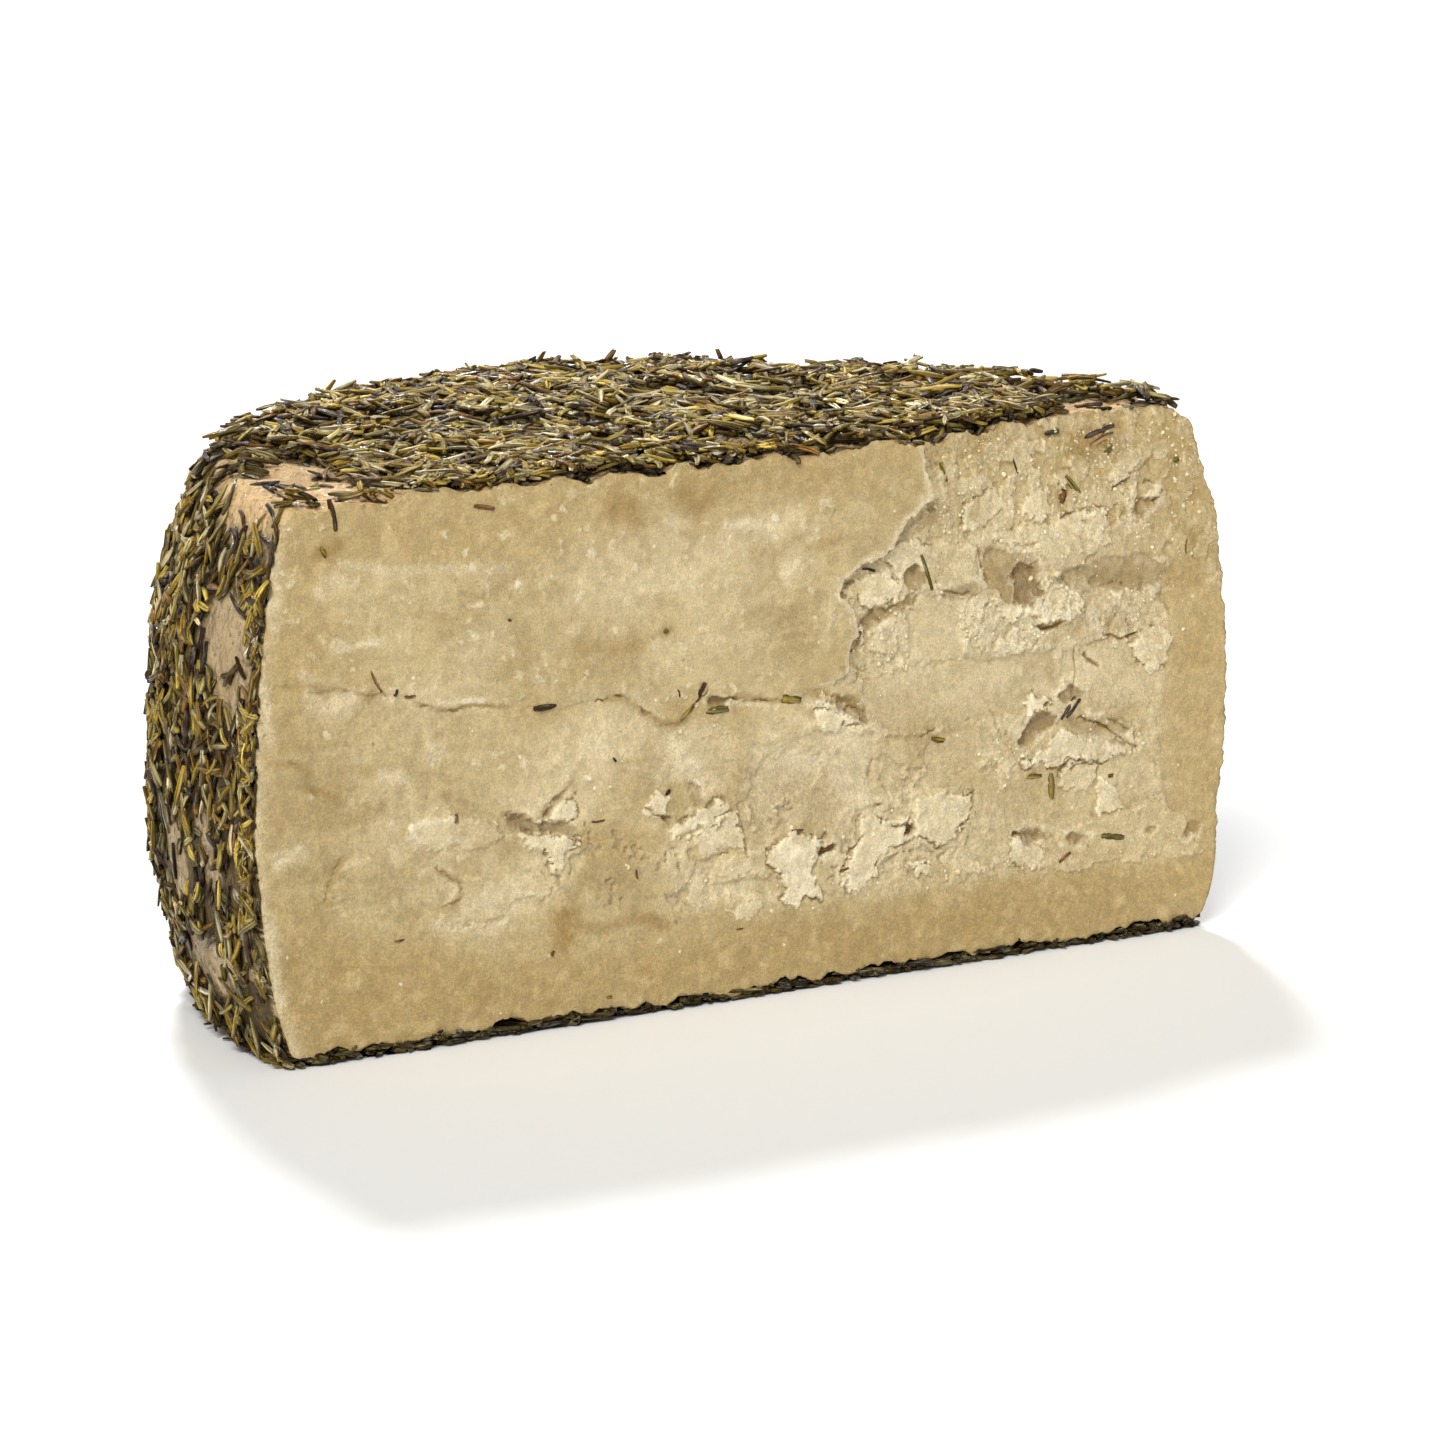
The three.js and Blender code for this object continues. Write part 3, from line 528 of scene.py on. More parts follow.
def as_seen(x, h):
    """Where the camera sees a point of the torn surface in the knife's plane."""
    depth = tear_depth(x, h)
    return x - SEEN_ACROSS * depth, h + SEEN_UP * depth


def behind_seen(seen_x, seen_h):
    """The point of the torn surface that the camera sees there: the inverse of as_seen."""
    x, h = seen_x, seen_h
    for _ in range(12):
        depth = tear_depth(x, h)
        x, h = seen_x + SEEN_ACROSS * depth, seen_h - SEEN_UP * depth
    return x, h


def ragged(x, h, amount, seed, spacing=3.4):
    """The point moved a little by fine noise, so that what is drawn there has a crumbly edge."""
    shift_x = fractal(x, h, spacing, 4, seed, keep=0.68)
    shift_h = fractal(x, h, spacing, 4, seed + 7, keep=0.68)
    return x + amount * shift_x, h + amount * shift_h


def near_shape(x, h, corners, margin=4.0):
    """Which points lie near a shape with these corners."""
    low_x, low_h = np.min(corners, axis=0) - margin
    high_x, high_h = np.max(corners, axis=0) + margin
    return np.flatnonzero((x > low_x) & (x < high_x) & (h > low_h) & (h < high_h))


def grains(x, h, spacing, seed):
    """A broken surface of grains that each stand at their own level, from -1 to 1."""
    u, v = x / spacing, h / spacing
    column, row = np.floor(u).astype(np.int64), np.floor(v).astype(np.int64)
    nearest = np.full(np.shape(x), np.inf)
    level = np.zeros(np.shape(x))
    for across in (-1, 0, 1):
        for up in (-1, 0, 1):
            i, j = column + across, row + up
            away = (u - i - 0.5 - 0.45 * lattice(i, j, seed)) ** 2
            away += (v - j - 0.5 - 0.45 * lattice(i, j, seed + 1)) ** 2
            level = np.where(away < nearest, lattice(i, j, seed + 2), level)
            nearest = np.minimum(nearest, away)
    return level


def crumble(x, h):
    """The crumbly break of dry paste, from about -1 to 1: ragged grains of three sizes."""
    at_x, at_h = ragged(x, h, 0.9, 23, spacing=1.6)
    return (0.52 * grains(at_x, at_h, 3.0, 401) + 0.3 * grains(at_x, at_h, 1.5, 411)
            + 0.18 * grains(at_x, at_h, 0.8, 421))


def torn_surface(x, h):
    """Depth, roughness, whiteness and greyness of the zones, at points as they are seen."""
    right = smooth(8, 20, x + 2 * bumps(x, h, 6, 31))
    low_band = smooth(10, 13.5, h + fractal(x, h, 5, 4, 33))
    depth = 0.25 * low_band * smooth(-96, -86, x)
    rough = mix(0.05, 0.35 * low_band + 0.03, right)
    white = mix(0.1, 0.1 + 0.18 * low_band, right)
    grey = np.full_like(depth, 0.04)
    for k, zone in enumerate(ZONES):
        near = near_shape(x, h, zone["corners"])
        at_x, at_h = ragged(x[near], h[near], 1.5, 40 + k)
        edge = inside_distance(at_x, at_h, zone["corners"])
        inside = smooth(-0.7, 0.7, edge)
        depth[near] += zone["step"] * smooth(-0.2, 0.2, edge)
        for values, name in ((rough, "rough"), (white, "white"), (grey, "grey")):
            values[near] = mix(values[near], zone[name], inside)
    return depth, rough, white, grey


def peeled_layer(x, h):
    """Where a thin layer came away from the lower half, from 0, still there, to 1."""
    field = fractal(x, h, 13, 6, 51, keep=0.66)
    reach = smooth(-60, -40, x) * smooth(48, 36, x) * smooth(12, 17, h) * smooth(44, 34, h)
    for flake in FLAKES:
        near = near_shape(x, h, flake["corners"])
        field[near] -= 0.8 * smooth(-1.5, 0.5, inside_distance(x[near], h[near], flake["corners"]))
    return smooth(-0.02, 0.03, field - 0.3 + 0.3 * reach) * reach


def raise_flakes(x, h, depth, white, rough, grey):
    """Flakes left standing where the paste round them was pulled away, with pale broken rims and
    painted shade in the groove below them.
    """
    for k, flake in enumerate(FLAKES):
        near = near_shape(x, h, flake["corners"])
        px, ph = x[near], h[near]
        at_x, at_h = ragged(px, ph, 1.2, 80 + k, spacing=2.2)
        edge = inside_distance(at_x, at_h, flake["corners"])
        edge = edge + 0.9 * fractal(px, ph, 4, 4, 85 + k, keep=0.7)
        edge = edge + 0.34 * grains(px, ph, 0.8, 90 + k)
        inside = smooth(-0.05, 0.16, edge)
        patchy = fractal(px, ph, 2.6, 4, 95 + k, keep=0.65)
        broken = smooth(-0.3, 0.35, bumps(px, ph, 2.4, 99 + k))
        level = depth[near] - flake["proud"] * (0.85 + 0.35 * patchy)
        groove = smooth(0.5, 0.0, np.abs(edge + 0.28)) * (1 - inside)
        groove = groove * smooth(-0.1, 0.5, bumps(px, ph, 3, 97 + k))
        groove = groove * smooth(0.25, 0.5, flake["proud"])
        depth[near] = mix(depth[near] + 0.45 * groove, np.maximum(level, -0.05), inside)
        rim = (0.08 + 0.6 * flake["white"]) * smooth(1.0, 0.1, edge) * broken
        pale = flake["white"] * (1.2 + 0.8 * patchy) + rim
        white[near] = mix(white[near], np.clip(pale, 0, 1), inside)
        rough[near] = mix(rough[near], 0.15 * flake["white"] + 0.3 * rough[near], inside)
        # The groove round a flake is painted grey too: painted shade under the flake's edge.
        grey[near] = np.maximum(grey[near] * (1 - 0.8 * inside), 0.5 * groove)


def sink_hollows(x, h, depth, white, grey):
    """Hollows with steep and sloping walls, a streaky floor and pale crumbly lips."""
    for k, hollow in enumerate(HOLLOWS):
        corners = np.array(hollow["corners"])
        middle, reach = corners.mean(axis=0), np.ptp(corners, axis=0).max() / 2
        near = near_shape(x, h, hollow["corners"], 2)
        px, ph = x[near], h[near]
        at_x, at_h = ragged(px, ph, 0.3 + 0.12 * reach, 130 + k, spacing=0.8 + 0.3 * reach)
        edge = inside_distance(at_x, at_h, hollow["corners"])
        edge = edge + 0.2 * grains(px, ph, 0.8, 160 + k)
        sloping = smooth(-0.45, 0.35, bumps(px, ph, 1.2 + 0.5 * reach, 150 + k))
        inside = smooth(-0.15, 0.3 + (0.3 + 0.28 * reach) * sloping, edge)
        towards_light = ((middle[0] - px) * 0.7 + (ph - middle[1]) * 0.7) / reach
        uneven = 0.2 * fractal(px, ph, 2.5, 4, 140 + k)
        floor = np.clip(0.72 + 0.4 * towards_light + uneven, 0.1, 1.3)
        streaks = 0.1 * bumps(2.2 * px + 1.1 * ph, 0.6 * ph - 0.3 * px, 1.3, 145 + k)
        depth[near] += (hollow["deep"] * floor + streaks) * inside
        lip = smooth(0.9, 0.1, np.abs(edge + 0.45))
        lip = lip * smooth(0.0, 0.5, bumps(px, ph, 1.6, 155 + k))
        white[near] = white[near] * (1 - 0.9 * inside) + 0.4 * lip * smooth(1.0, 2.4, reach)
        patches = fractal(2 * px + ph, ph - 0.4 * px, 2.6, 4, 135 + k, keep=0.6)
        floor_grey = hollow["grey"] * (0.85 + 0.45 * patches)
        grey[near] = np.maximum(grey[near], floor_grey * smooth(-0.35, 0.6, edge))


def torn_relief(x, h):
    """Depth, whiteness, roughness and greyness of the torn part, with all that is drawn on it."""
    seen_x, seen_h = as_seen(x, h)
    depth, rough, white, grey = torn_surface(seen_x, seen_h)
    peeled = peeled_layer(seen_x, seen_h)
    depth = depth + peeled * 0.4
    white = white + 0.1 * peeled
    raise_flakes(seen_x, seen_h, depth, white, rough, grey)
    broken = crumble(seen_x, seen_h)
    depth = depth - (0.62 * rough + 0.05) * broken
    white = white + rough * (0.4 * broken + 0.2 * fractal(seen_x, seen_h, 3, 3, 11))
    sink_hollows(seen_x, seen_h, depth, white, grey)
    for k, (line, width, deep) in enumerate(SLITS):
        near = near_shape(seen_x, seen_h, line, 2)
        at_x, at_h = ragged(seen_x[near], seen_h[near], 0.6, 170 + k, spacing=1.6)
        depth[near] += deep * smooth(width, width * 0.2, line_distance(at_x, at_h, line))
    return depth + tear_depth(x, h), white, rough, grey


def lay_slab(x, h, depth, white, rough, grey):
    """The same four with the smooth slab, its pits and its pale marks laid over the torn part."""
    at_x, at_h = ragged(x, h, 0.1 + 0.8 * smooth(-100, -60, x), 29, spacing=2.4)
    edge = inside_distance(at_x, at_h, SLAB_EDGE)
    on_slab = smooth(-0.1, 0.15, edge)
    slab_level = 0.05 * bumps(x, h, 14, 3) + 0.03 * bumps(x, h * 3, 6, 4)
    slab_white = 0.1 + 0.4 * smooth(1.0, 0.1, edge) * smooth(2, 16, x)
    depth = mix(depth, slab_level, on_slab)
    white = mix(white, slab_white, on_slab)
    rough = mix(rough, 0.02, on_slab)
    grey = mix(grey, 0.03, on_slab)
    spots = soft_marks(x, h, SPOTS, 330, 0.8)
    white = white + spots * (1.0 + 0.5 * grains(x, h, 0.7, 441))
    pits = grains(x, h, 4.2, 431) * smooth(0.35, 0.8, bumps(x, h, 1.1, 433))
    depth = depth - 0.1 * spots + on_slab * 0.16 * pits
    white = white + on_slab * 0.5 * np.clip(-pits, 0, 1)
    return depth, white, rough, grey


def open_knit_lines(x, h, depth, white):
    """Cracks along the lines where the curds never knitted, with pale lumps beside them."""
    for k, (line, deep) in enumerate(KNIT_LINES):
        near = near_shape(x, h, line, 3)
        px, ph = x[near], h[near]
        at_x, at_h = ragged(px, ph, 1.1, 190 + k, spacing=2.2)
        open_here = smooth(-0.2, 0.5, bumps(px, ph, 3, 200 + k))
        away = line_distance(at_x, at_h, line)
        depth[near] += deep * (0.1 + 0.9 * open_here) * smooth(0.42, 0.1, away)
        lumps = smooth(0.0, 0.5, bumps(px, ph, 1.5, 210 + k))
        lumps = lumps * smooth(-0.3, 0.4, bumps(px, ph, 9, 215 + k))
        white[near] += 0.45 * lumps * smooth(1.6, 0.4, away) * smooth(0.2, 0.5, away)
        depth[near] -= 0.12 * lumps * smooth(1.3, 0.5, away)


def cut_relief(x, h):
    """Depth behind the knife's plane, whiteness, roughness and greyness of points of the cut."""
    shape = np.shape(x)
    x, h = np.ravel(x).astype(float), np.ravel(h).astype(float)
    depth, white, rough, grey = lay_slab(x, h, *torn_relief(x, h))
    open_knit_lines(x, h, depth, white)
    depth = np.maximum(depth + 0.025 * fractal(x, h, 1.4, 3, 23), -0.1)
    tones = [np.clip(values, 0, 1) for values in (white, rough, grey)]
    return [values.reshape(shape) for values in (depth, *tones)]


def soft_marks(x, h, marks, seed, shift):
    """Strength of the nearest of a set of soft marks, each a line with a half width."""
    strength = np.zeros(np.shape(x))
    for k, (line, width, strong) in enumerate(marks):
        near = near_shape(x, h, line, 2 * width + 2)
        at_x, at_h = ragged(x[near], h[near], shift * width, seed + k, spacing=1.6 * width)
        here = strong * smooth(width * 1.6, width * 0.2, line_distance(at_x, at_h, line))
        strength[near] = np.maximum(strength[near], here)
    return strength


def paste_tints(x, depth, h):
    """Where the paste is smeared, creamier or duller than elsewhere, at points of the cut."""
    seen_x, seen_h = np.ravel(x - SEEN_ACROSS * depth), np.ravel(h + SEEN_UP * depth)
    smear = soft_marks(seen_x, seen_h, SMEARS, 230, 0.8)
    creamy = soft_marks(seen_x, seen_h, CREAMY, 250, 0.9)
    # The duller patches are partly painted shade round bedded needles and hollows.
    dull = soft_marks(seen_x, seen_h, DULL_AND_SHADED, 270, 0.8)
    return smear, creamy.reshape(x.shape), dull.reshape(x.shape)


# Spacing of the mesh's columns over the cut: from which x, to which x, and how many.
COLUMN_RUNS = [(-1.0, -0.5, 120), (-0.5, 0.1, 220), (0.1, 1.0, 440)]
FACE_COLUMNS = sum(count for _, _, count in COLUMN_RUNS)
SIDE_COLUMNS = 110
MIDDLE_ROWS = 380
RIM_ROWS = 8
MOST_TRIANGLES = 194_000
MERGE_DISTANCE = 0.01
# The rind carries the cut's tones too: not white, level, golden and not grey.
RIND_TONE = (0, 0.5, 1, 0)


def row_heights():
    """Heights of the rows of the mesh, closer together round the two rims."""
    turns = np.linspace(0, pi / 2, RIM_ROWS + 1)
    rim = 1 - np.cos(turns)
    middle = np.linspace(FOOT_ROUNDING, PASTE_HEIGHT - RIM_ROUNDING, MIDDLE_ROWS + 1)[1:-1]
    return np.concatenate([FOOT_ROUNDING * rim, middle, (PASTE_HEIGHT - RIM_ROUNDING * rim)[::-1]])


def column_shares():
    """Where the columns stand, from 0 to 1 across the cut: closer where the paste is torn."""
    runs = [np.linspace(start, end, count, endpoint=False) for start, end, count in COLUMN_RUNS]
    return (np.concatenate([*runs, [1.0]]) + 1) / 2


def grid_in(bm, columns, rows, positions, material):
    """A grid of faces whose vertices take the given positions, an array of rows by columns by 3."""
    made = bmesh.ops.create_grid(bm, x_segments=columns, y_segments=rows, size=1)["verts"]
    flat = positions.reshape(-1, 3) * MM
    for vert, place in zip(made, flat.tolist()):
        vert.co = place
    faces = {face for vert in made for face in vert.link_faces}
    for face in faces:
        face.material_index = material
    return made


def edge_wave(x, y, seed):
    """How far the top or bottom edge of the paste waves, where the needles pressed into it."""
    return 1.9 * fractal(x, y, 4.6, 4, seed, keep=0.6) + 0.5 * bumps(x, y, 17, seed + 9)


def wave_rims(x, y, z):
    """Heights with the waves of the top and bottom edges added near them."""
    near_top = smooth(PASTE_HEIGHT - 5, PASTE_HEIGHT, z)
    near_foot = smooth(5, 0, z)
    return z + near_top * edge_wave(x, y, 301) + near_foot * (0.3 + edge_wave(x, y, 302))


def wheel_rows():
    """For each row: its height, and the radii and angles of the right and left ends of the cut."""
    heights = row_heights()
    radii = rind_radius(heights)
    chips = 0.35 + 0.9 * fractal(heights, 0 * heights, 5, 5, 311, keep=0.75)
    radii_right = radii - chips * smooth(6, 16, heights)
    radii_left = radii - 0.5 * fractal(heights, 0 * heights, 8, 4, 312, keep=0.65)
    depth_right = cut_relief(radii_right, heights)[0]
    depth_left = cut_relief(-radii_left, heights)[0]
    angle_right = np.arcsin(np.clip(depth_right / radii_right, -1, 1))
    angle_left = pi - np.arcsin(np.clip(depth_left / radii_left, -1, 1))
    return heights, radii_right, radii_left, angle_right, angle_left


def face_positions():
    """Places of the cut's vertices, with the depth, whiteness and greyness of each."""
    heights, radii_right, radii_left, angle_right, angle_left = wheel_rows()
    x_right, x_left = radii_right * np.cos(angle_right), radii_left * np.cos(angle_left)
    share = column_shares()[None, :]
    x = x_left[:, None] + (x_right - x_left)[:, None] * share
    h = np.repeat(heights[:, None], FACE_COLUMNS + 1, axis=1)
    depth, white, _, grey = cut_relief(x, h)
    depth[:, -1] = radii_right * np.sin(angle_right)
    depth[:, 0] = radii_left * np.sin(angle_left)
    z = wave_rims(x, depth, h)
    return np.stack([x, CUT_Y + depth, MAT_THICKNESS + z], axis=-1), depth, white, grey


def side_positions():
    """Places of the rind's vertices, and how bare of needles the rind is at each."""
    heights, radii_right, radii_left, angle_right, angle_left = wheel_rows()
    share = np.linspace(0, 1, SIDE_COLUMNS + 1)[None, :]
    angle = angle_right[:, None] + (angle_left - angle_right)[:, None] * share
    whole = rind_radius(heights)[:, None]
    dent = 0.4 * fractal(angle * WHEEL_RADIUS, heights[:, None], 14, 4, 61)
    dent = dent * smooth(0, 0.03, share) * smooth(1, 0.97, share)
    radius = whole + dent - slump(angle, heights[:, None])
    radius = mix(radii_right[:, None], radius, smooth(0, 0.05, share))
    radius = mix(radii_left[:, None], radius, smooth(1, 0.96, share))
    x, y = radius * np.cos(angle), radius * np.sin(angle)
    h = np.broadcast_to(heights[:, None], x.shape)
    z = wave_rims(x, y, h)
    bare = rind_shows(np.ravel(angle * WHEEL_RADIUS), np.ravel(h))
    return np.stack([x, CUT_Y + y, MAT_THICKNESS + z], axis=-1), bare


def blurred(values, reach):
    """Values averaged over a square of cells, by running sums."""
    for axis in (0, 1):
        padded = np.concatenate([np.repeat(np.take(values, [0], axis), reach + 1, axis), values,
                                 np.repeat(np.take(values, [-1], axis), reach, axis)], axis)
        total = np.cumsum(padded, axis)
        size = values.shape[axis]
        high = np.take(total, range(2 * reach + 1, 2 * reach + 1 + size), axis)
        low = np.take(total, range(size), axis)
        values = (high - low) / (2 * reach + 1)
    return values


def face_tones(face, depth, white, grey, dull):
    """What colours the cut: whiteness, painted shade where sunk, painted highlight where proud, how
    golden and how grey.
    """
    edge = depth - blurred(depth, 4)
    bowl = depth - blurred(depth, 16)
    # Painted shade where the relief is sunk, and painted highlight where it stands proud.
    painted_light_and_shade = 0.5 + 0.5 * np.clip(1.6 * edge + 0.45 * bowl, -1, 1)
    x, h = face[..., 0], face[..., 2] - MAT_THICKNESS
    wander = 3 * fractal(x, h, 12, 3, 321)
    near_left = smooth(10 + wander, 0, x - x[:, :1]) * 0.3
    near_right = smooth(20 + 2 * wander, 2, x[:, -1:] - x) * 0.55
    near_rim = smooth(13 + wander, 1, PASTE_HEIGHT - h) * 0.72
    band_top = mix(21, 13.5, smooth(-95, -45, x)) + 0.5 * wander
    low_down = smooth(band_top + 2.5, band_top - 7, h) * 0.9
    golden = np.maximum(np.maximum(near_left, near_right), np.maximum(near_rim, low_down))
    # Duller patches deepen the golden tone; in places they are painted shade round bedded needles
    # and hollows.
    golden = np.clip(golden + 0.9 * dull * (1 - golden), 0, 1)
    white = white + 0.3 * smooth(3.0, 0.5, x - x[:, :1] + 0.4 * wander)
    return np.stack([white, painted_light_and_shade, golden, grey], axis=-1).reshape(-1, 4)


def put_in_scene(name, data):
    """An object of a mesh, camera or light, in the scene."""
    made = bpy.data.objects.new(name, data)
    bpy.context.collection.objects.link(made)
    return made


def make_cheese(paste, rind):
    """The half wheel itself: the cut with its full relief, the rind behind it, top and foot."""
    face, depth, white, grey = face_positions()
    smear, creamy, dull = paste_tints(face[..., 0], depth, face[..., 2] - MAT_THICKNESS)
    tones = face_tones(face, depth, white, grey, dull)
    side, bare = side_positions()
    rows = len(face) - 1
    bm = bmesh.new()
    tone = bm.verts.layers.float_color.new("tone")
    stain = bm.verts.layers.float.new("smear")
    cream = bm.verts.layers.float.new("cream")
    rind_bare = bm.verts.layers.float.new("bare")
    face_verts = grid_in(bm, FACE_COLUMNS, rows, face, 0)
    carried = zip(face_verts, tones.tolist(), smear.tolist(), creamy.ravel().tolist())
    for vert, values, smeared, creamed in carried:
        vert[tone] = values
        vert[stain] = smeared
        vert[cream] = creamed
        vert[rind_bare] = 1.0
    for vert, shows in zip(grid_in(bm, SIDE_COLUMNS, rows, side, 1), bare.tolist()):
        vert[tone] = RIND_TONE
        vert[rind_bare] = shows
    bmesh.ops.remove_doubles(bm, verts=bm.verts, dist=MERGE_DISTANCE * MM)
    rims = [edge for edge in bm.edges if edge.is_boundary]
    for cap in bmesh.ops.edgeloop_fill(bm, edges=rims)["faces"]:
        cap.material_index = 1
    bmesh.ops.recalc_face_normals(bm, faces=bm.faces)
    for polygon in bm.faces:
        polygon.smooth = len(polygon.verts) == 4
    bmesh.ops.triangulate(bm, faces=[f for f in bm.faces if len(f.verts) > 4])
    mesh = bpy.data.meshes.new("cheese")
    bm.to_mesh(mesh)
    bm.free()
    mesh.materials.append(paste)
    mesh.materials.append(rind)
    cheese = put_in_scene("cheese", mesh)
    thin_out(cheese, MOST_TRIANGLES)
    return cheese


def thin_out(piece, most):
    """Merges triangles where the surface is level, down to a number, and keeps the edges."""
    triangles = sum(len(polygon.vertices) - 2 for polygon in piece.data.polygons)
    modifier = piece.modifiers.new("thin out", "DECIMATE")
    modifier.ratio = most / triangles
    graph = bpy.context.evaluated_depsgraph_get()
    thinned = bpy.data.meshes.new_from_object(piece.evaluated_get(graph))
    piece.modifiers.clear()
    piece.data = thinned


# The needles

# The most needles in one piece, how many are dropped on each part of the wheel, and the margin
# round the map that they are dropped on.
MOST_NEEDLES = 3400
DROPPED_ON_TOP = 7300
DROPPED_ON_SIDE = 8600
DROPPED_IN_MAT = 3600
COAT_MARGIN = 5.0
# Each needle reads its own part of the streaks, this share of the range after the last one's.
STRAND_STEP = 0.618
STRAND_RANGE = 50
RINGS = 5
# Outline of a needle across its length, a leaf rolled in at both edges, and how light each of its
# corners is: painted highlight on the ridges, painted shade on the edges and groove, pale
# underside.
SECTION = np.array([(-0.5, 0.0), (-0.3, 0.42), (0.0, 0.16), (0.3, 0.42), (0.5, 0.0), (0.0, -0.42)])
SECTION_PAINTED_LIGHT_AND_TONE = np.array([0.28, 1.7, 0.6, 1.7, 0.28, 1.4])


class Coat:
    """Needles dropped one after another on a surface, each on top of what lies there already."""

    def __init__(self, width, height, cell=0.5):
        self.cell = cell
        self.tops = np.zeros((int(height / cell) + 2, int(width / cell) + 2))

    def cells(self, u, v):
        """Rows and columns of the map at places on the surface."""
        column = np.clip((u / self.cell).astype(int), 0, self.tops.shape[1] - 1)
        row = np.clip((v / self.cell).astype(int), 0, self.tops.shape[0] - 1)
        return row, column

    def rest(self, u, v, turn, length, width, thick, most, steepest):
        """Height and slope of a needle that comes to rest at u, v, no higher than most."""
        along = np.linspace(-0.45, 0.45, 7) * length
        at_u, at_v = u + along * cos(turn), v + along * sin(turn)
        ground = self.tops[self.cells(at_u, at_v)]
        left, right = ground[:3].max(), ground[4:].max()
        slope = float(np.clip((right - left) / (0.6 * length), -steepest, steepest))
        middle = float((ground - slope * along).max())
        middle = min(middle, most)
        for across in (-0.35, 0.0, 0.35):
            side_u, side_v = at_u - across * width * sin(turn), at_v + across * width * cos(turn)
            where = self.cells(side_u, side_v)
            self.tops[where] = np.maximum(self.tops[where], middle + slope * along + 0.75 * thick)
        return middle + 0.35 * thick, slope


def mesh_piece(name, corners, loops, sizes, rounded, material, attributes):
    """A piece made from arrays: its corners, each face's corners in turn, and how many it has."""
    places = corners.reshape(-1, 3) * MM
    mesh = bpy.data.meshes.new(name)
    mesh.vertices.add(len(places))
    mesh.vertices.foreach_set("co", places.ravel().astype(np.float32))
    mesh.loops.add(len(loops))
    mesh.loops.foreach_set("vertex_index", loops.astype(np.int32))
    mesh.polygons.add(len(sizes))
    mesh.polygons.foreach_set("loop_start", (np.cumsum(sizes) - sizes).astype(np.int32))
    mesh.polygons.foreach_set("use_smooth", rounded)
    for label, kind, field, values in attributes:
        carried = mesh.attributes.new(label, kind, "POINT")
        carried.data.foreach_set(field, values.astype(np.float32).ravel())
    mesh.update(calc_edges=True)
    mesh.materials.append(material)
    return put_in_scene(name, mesh)


def needle_sizes(random, count):
    """Length, width and thickness of needles: many short ones and a few long ones."""
    length = 2.7 + 5.2 * random.random(count) ** 1.5
    width = 0.82 + 0.5 * random.random(count)
    thick = width * (0.55 + 0.35 * random.random(count))
    return length, width, thick


def drop_needles(random, coat, u, v, turn, sizes, most):
    """Heights and slopes of needles dropped in turn; a few lie steeper than the rest."""
    length, width, thick = sizes
    count = len(length)
    steepest = np.where(random.random(count) < 0.02, 0.5, 0.22)
    rows = np.stack([u, v, turn, length, width, thick, most, steepest], axis=1)
    return np.array([coat.rest(*row) for row in rows.tolist()]).T


# sRGB colours of single needles, and how common each is.
NEEDLE_COLOURS = [
    ((150, 124, 42), 5.0),
    ((170, 148, 66), 3.4),
    ((122, 96, 26), 4.4),
    ((160, 144, 92), 3.0),
    ((196, 182, 136), 1.8),
    ((92, 66, 16), 3.4),
    ((50, 30, 8), 3.0),
    ((58, 38, 34), 1.5),
    ((134, 92, 28), 1.4),
    ((204, 176, 78), 0.9),
    ((214, 196, 148), 0.6),
    ((232, 218, 184), 0.3),
    ((140, 76, 40), 0.15),
]


def linear(colour):
    """sRGB values from 0 to 255 as linear values from 0 to 1."""
    c = np.asarray(colour, dtype=float) / 255
    return np.where(c <= 0.04045, c / 12.92, ((c + 0.055) / 1.055) ** 2.4)


def pick_colours(random, count):
    """A colour for each needle, picked from NEEDLE_COLOURS and made lighter or darker."""
    colours = np.array([linear(colour) for colour, _ in NEEDLE_COLOURS])
    weights = np.array([weight for _, weight in NEEDLE_COLOURS])
    chosen = colours[random.choice(len(colours), size=count, p=weights / weights.sum())]
    return chosen * (0.7 + 0.6 * random.random((count, 1)))


def needle_vertices(random, centre, along, normal, sizes, bend=0.5):
    """Corner positions of every needle: needles by rings by section points by 3."""
    length, width, thick = sizes
    count = len(length)
    along = along / np.linalg.norm(along, axis=1, keepdims=True)
    across = np.cross(normal, along)
    across /= np.linalg.norm(across, axis=1, keepdims=True)
    upright = np.cross(along, across)
    roll = (random.random(count) - 0.5) * 1.2 + pi * (random.random(count) < 0.4)
    side = across * np.cos(roll)[:, None] + upright * np.sin(roll)[:, None]
    top = -across * np.sin(roll)[:, None] + upright * np.cos(roll)[:, None]
    stations = np.linspace(-0.5, 0.5, RINGS)
    taper = np.array([0.72, 1.0, 1.04, 0.92, 0.45])
    taper = taper[None, :] * (0.88 + 0.24 * random.random((count, RINGS)))
    blunt = random.random(count) < 0.7
    taper[blunt, -1] = 0.82
    sweep = (random.random(count) - 0.5) * 2 * bend
    arch = (random.random(count) - 0.6) * 0.5 * bend
    curve = (stations**2 * 4 - 0.4)[None, :]
    spine = (centre[:, None] + along[:, None] * (stations[None, :, None] * length[:, None, None])
             + across[:, None] * (sweep[:, None] * curve)[..., None]
             + upright[:, None] * (arch[:, None] * curve)[..., None])
    wide = (taper * width[:, None])[..., None, None] * SECTION[None, None, :, 0, None]
    tall = (taper * thick[:, None])[..., None, None] * SECTION[None, None, :, 1, None]
    return spine[:, :, None] + side[:, None, None] * wide + top[:, None, None] * tall


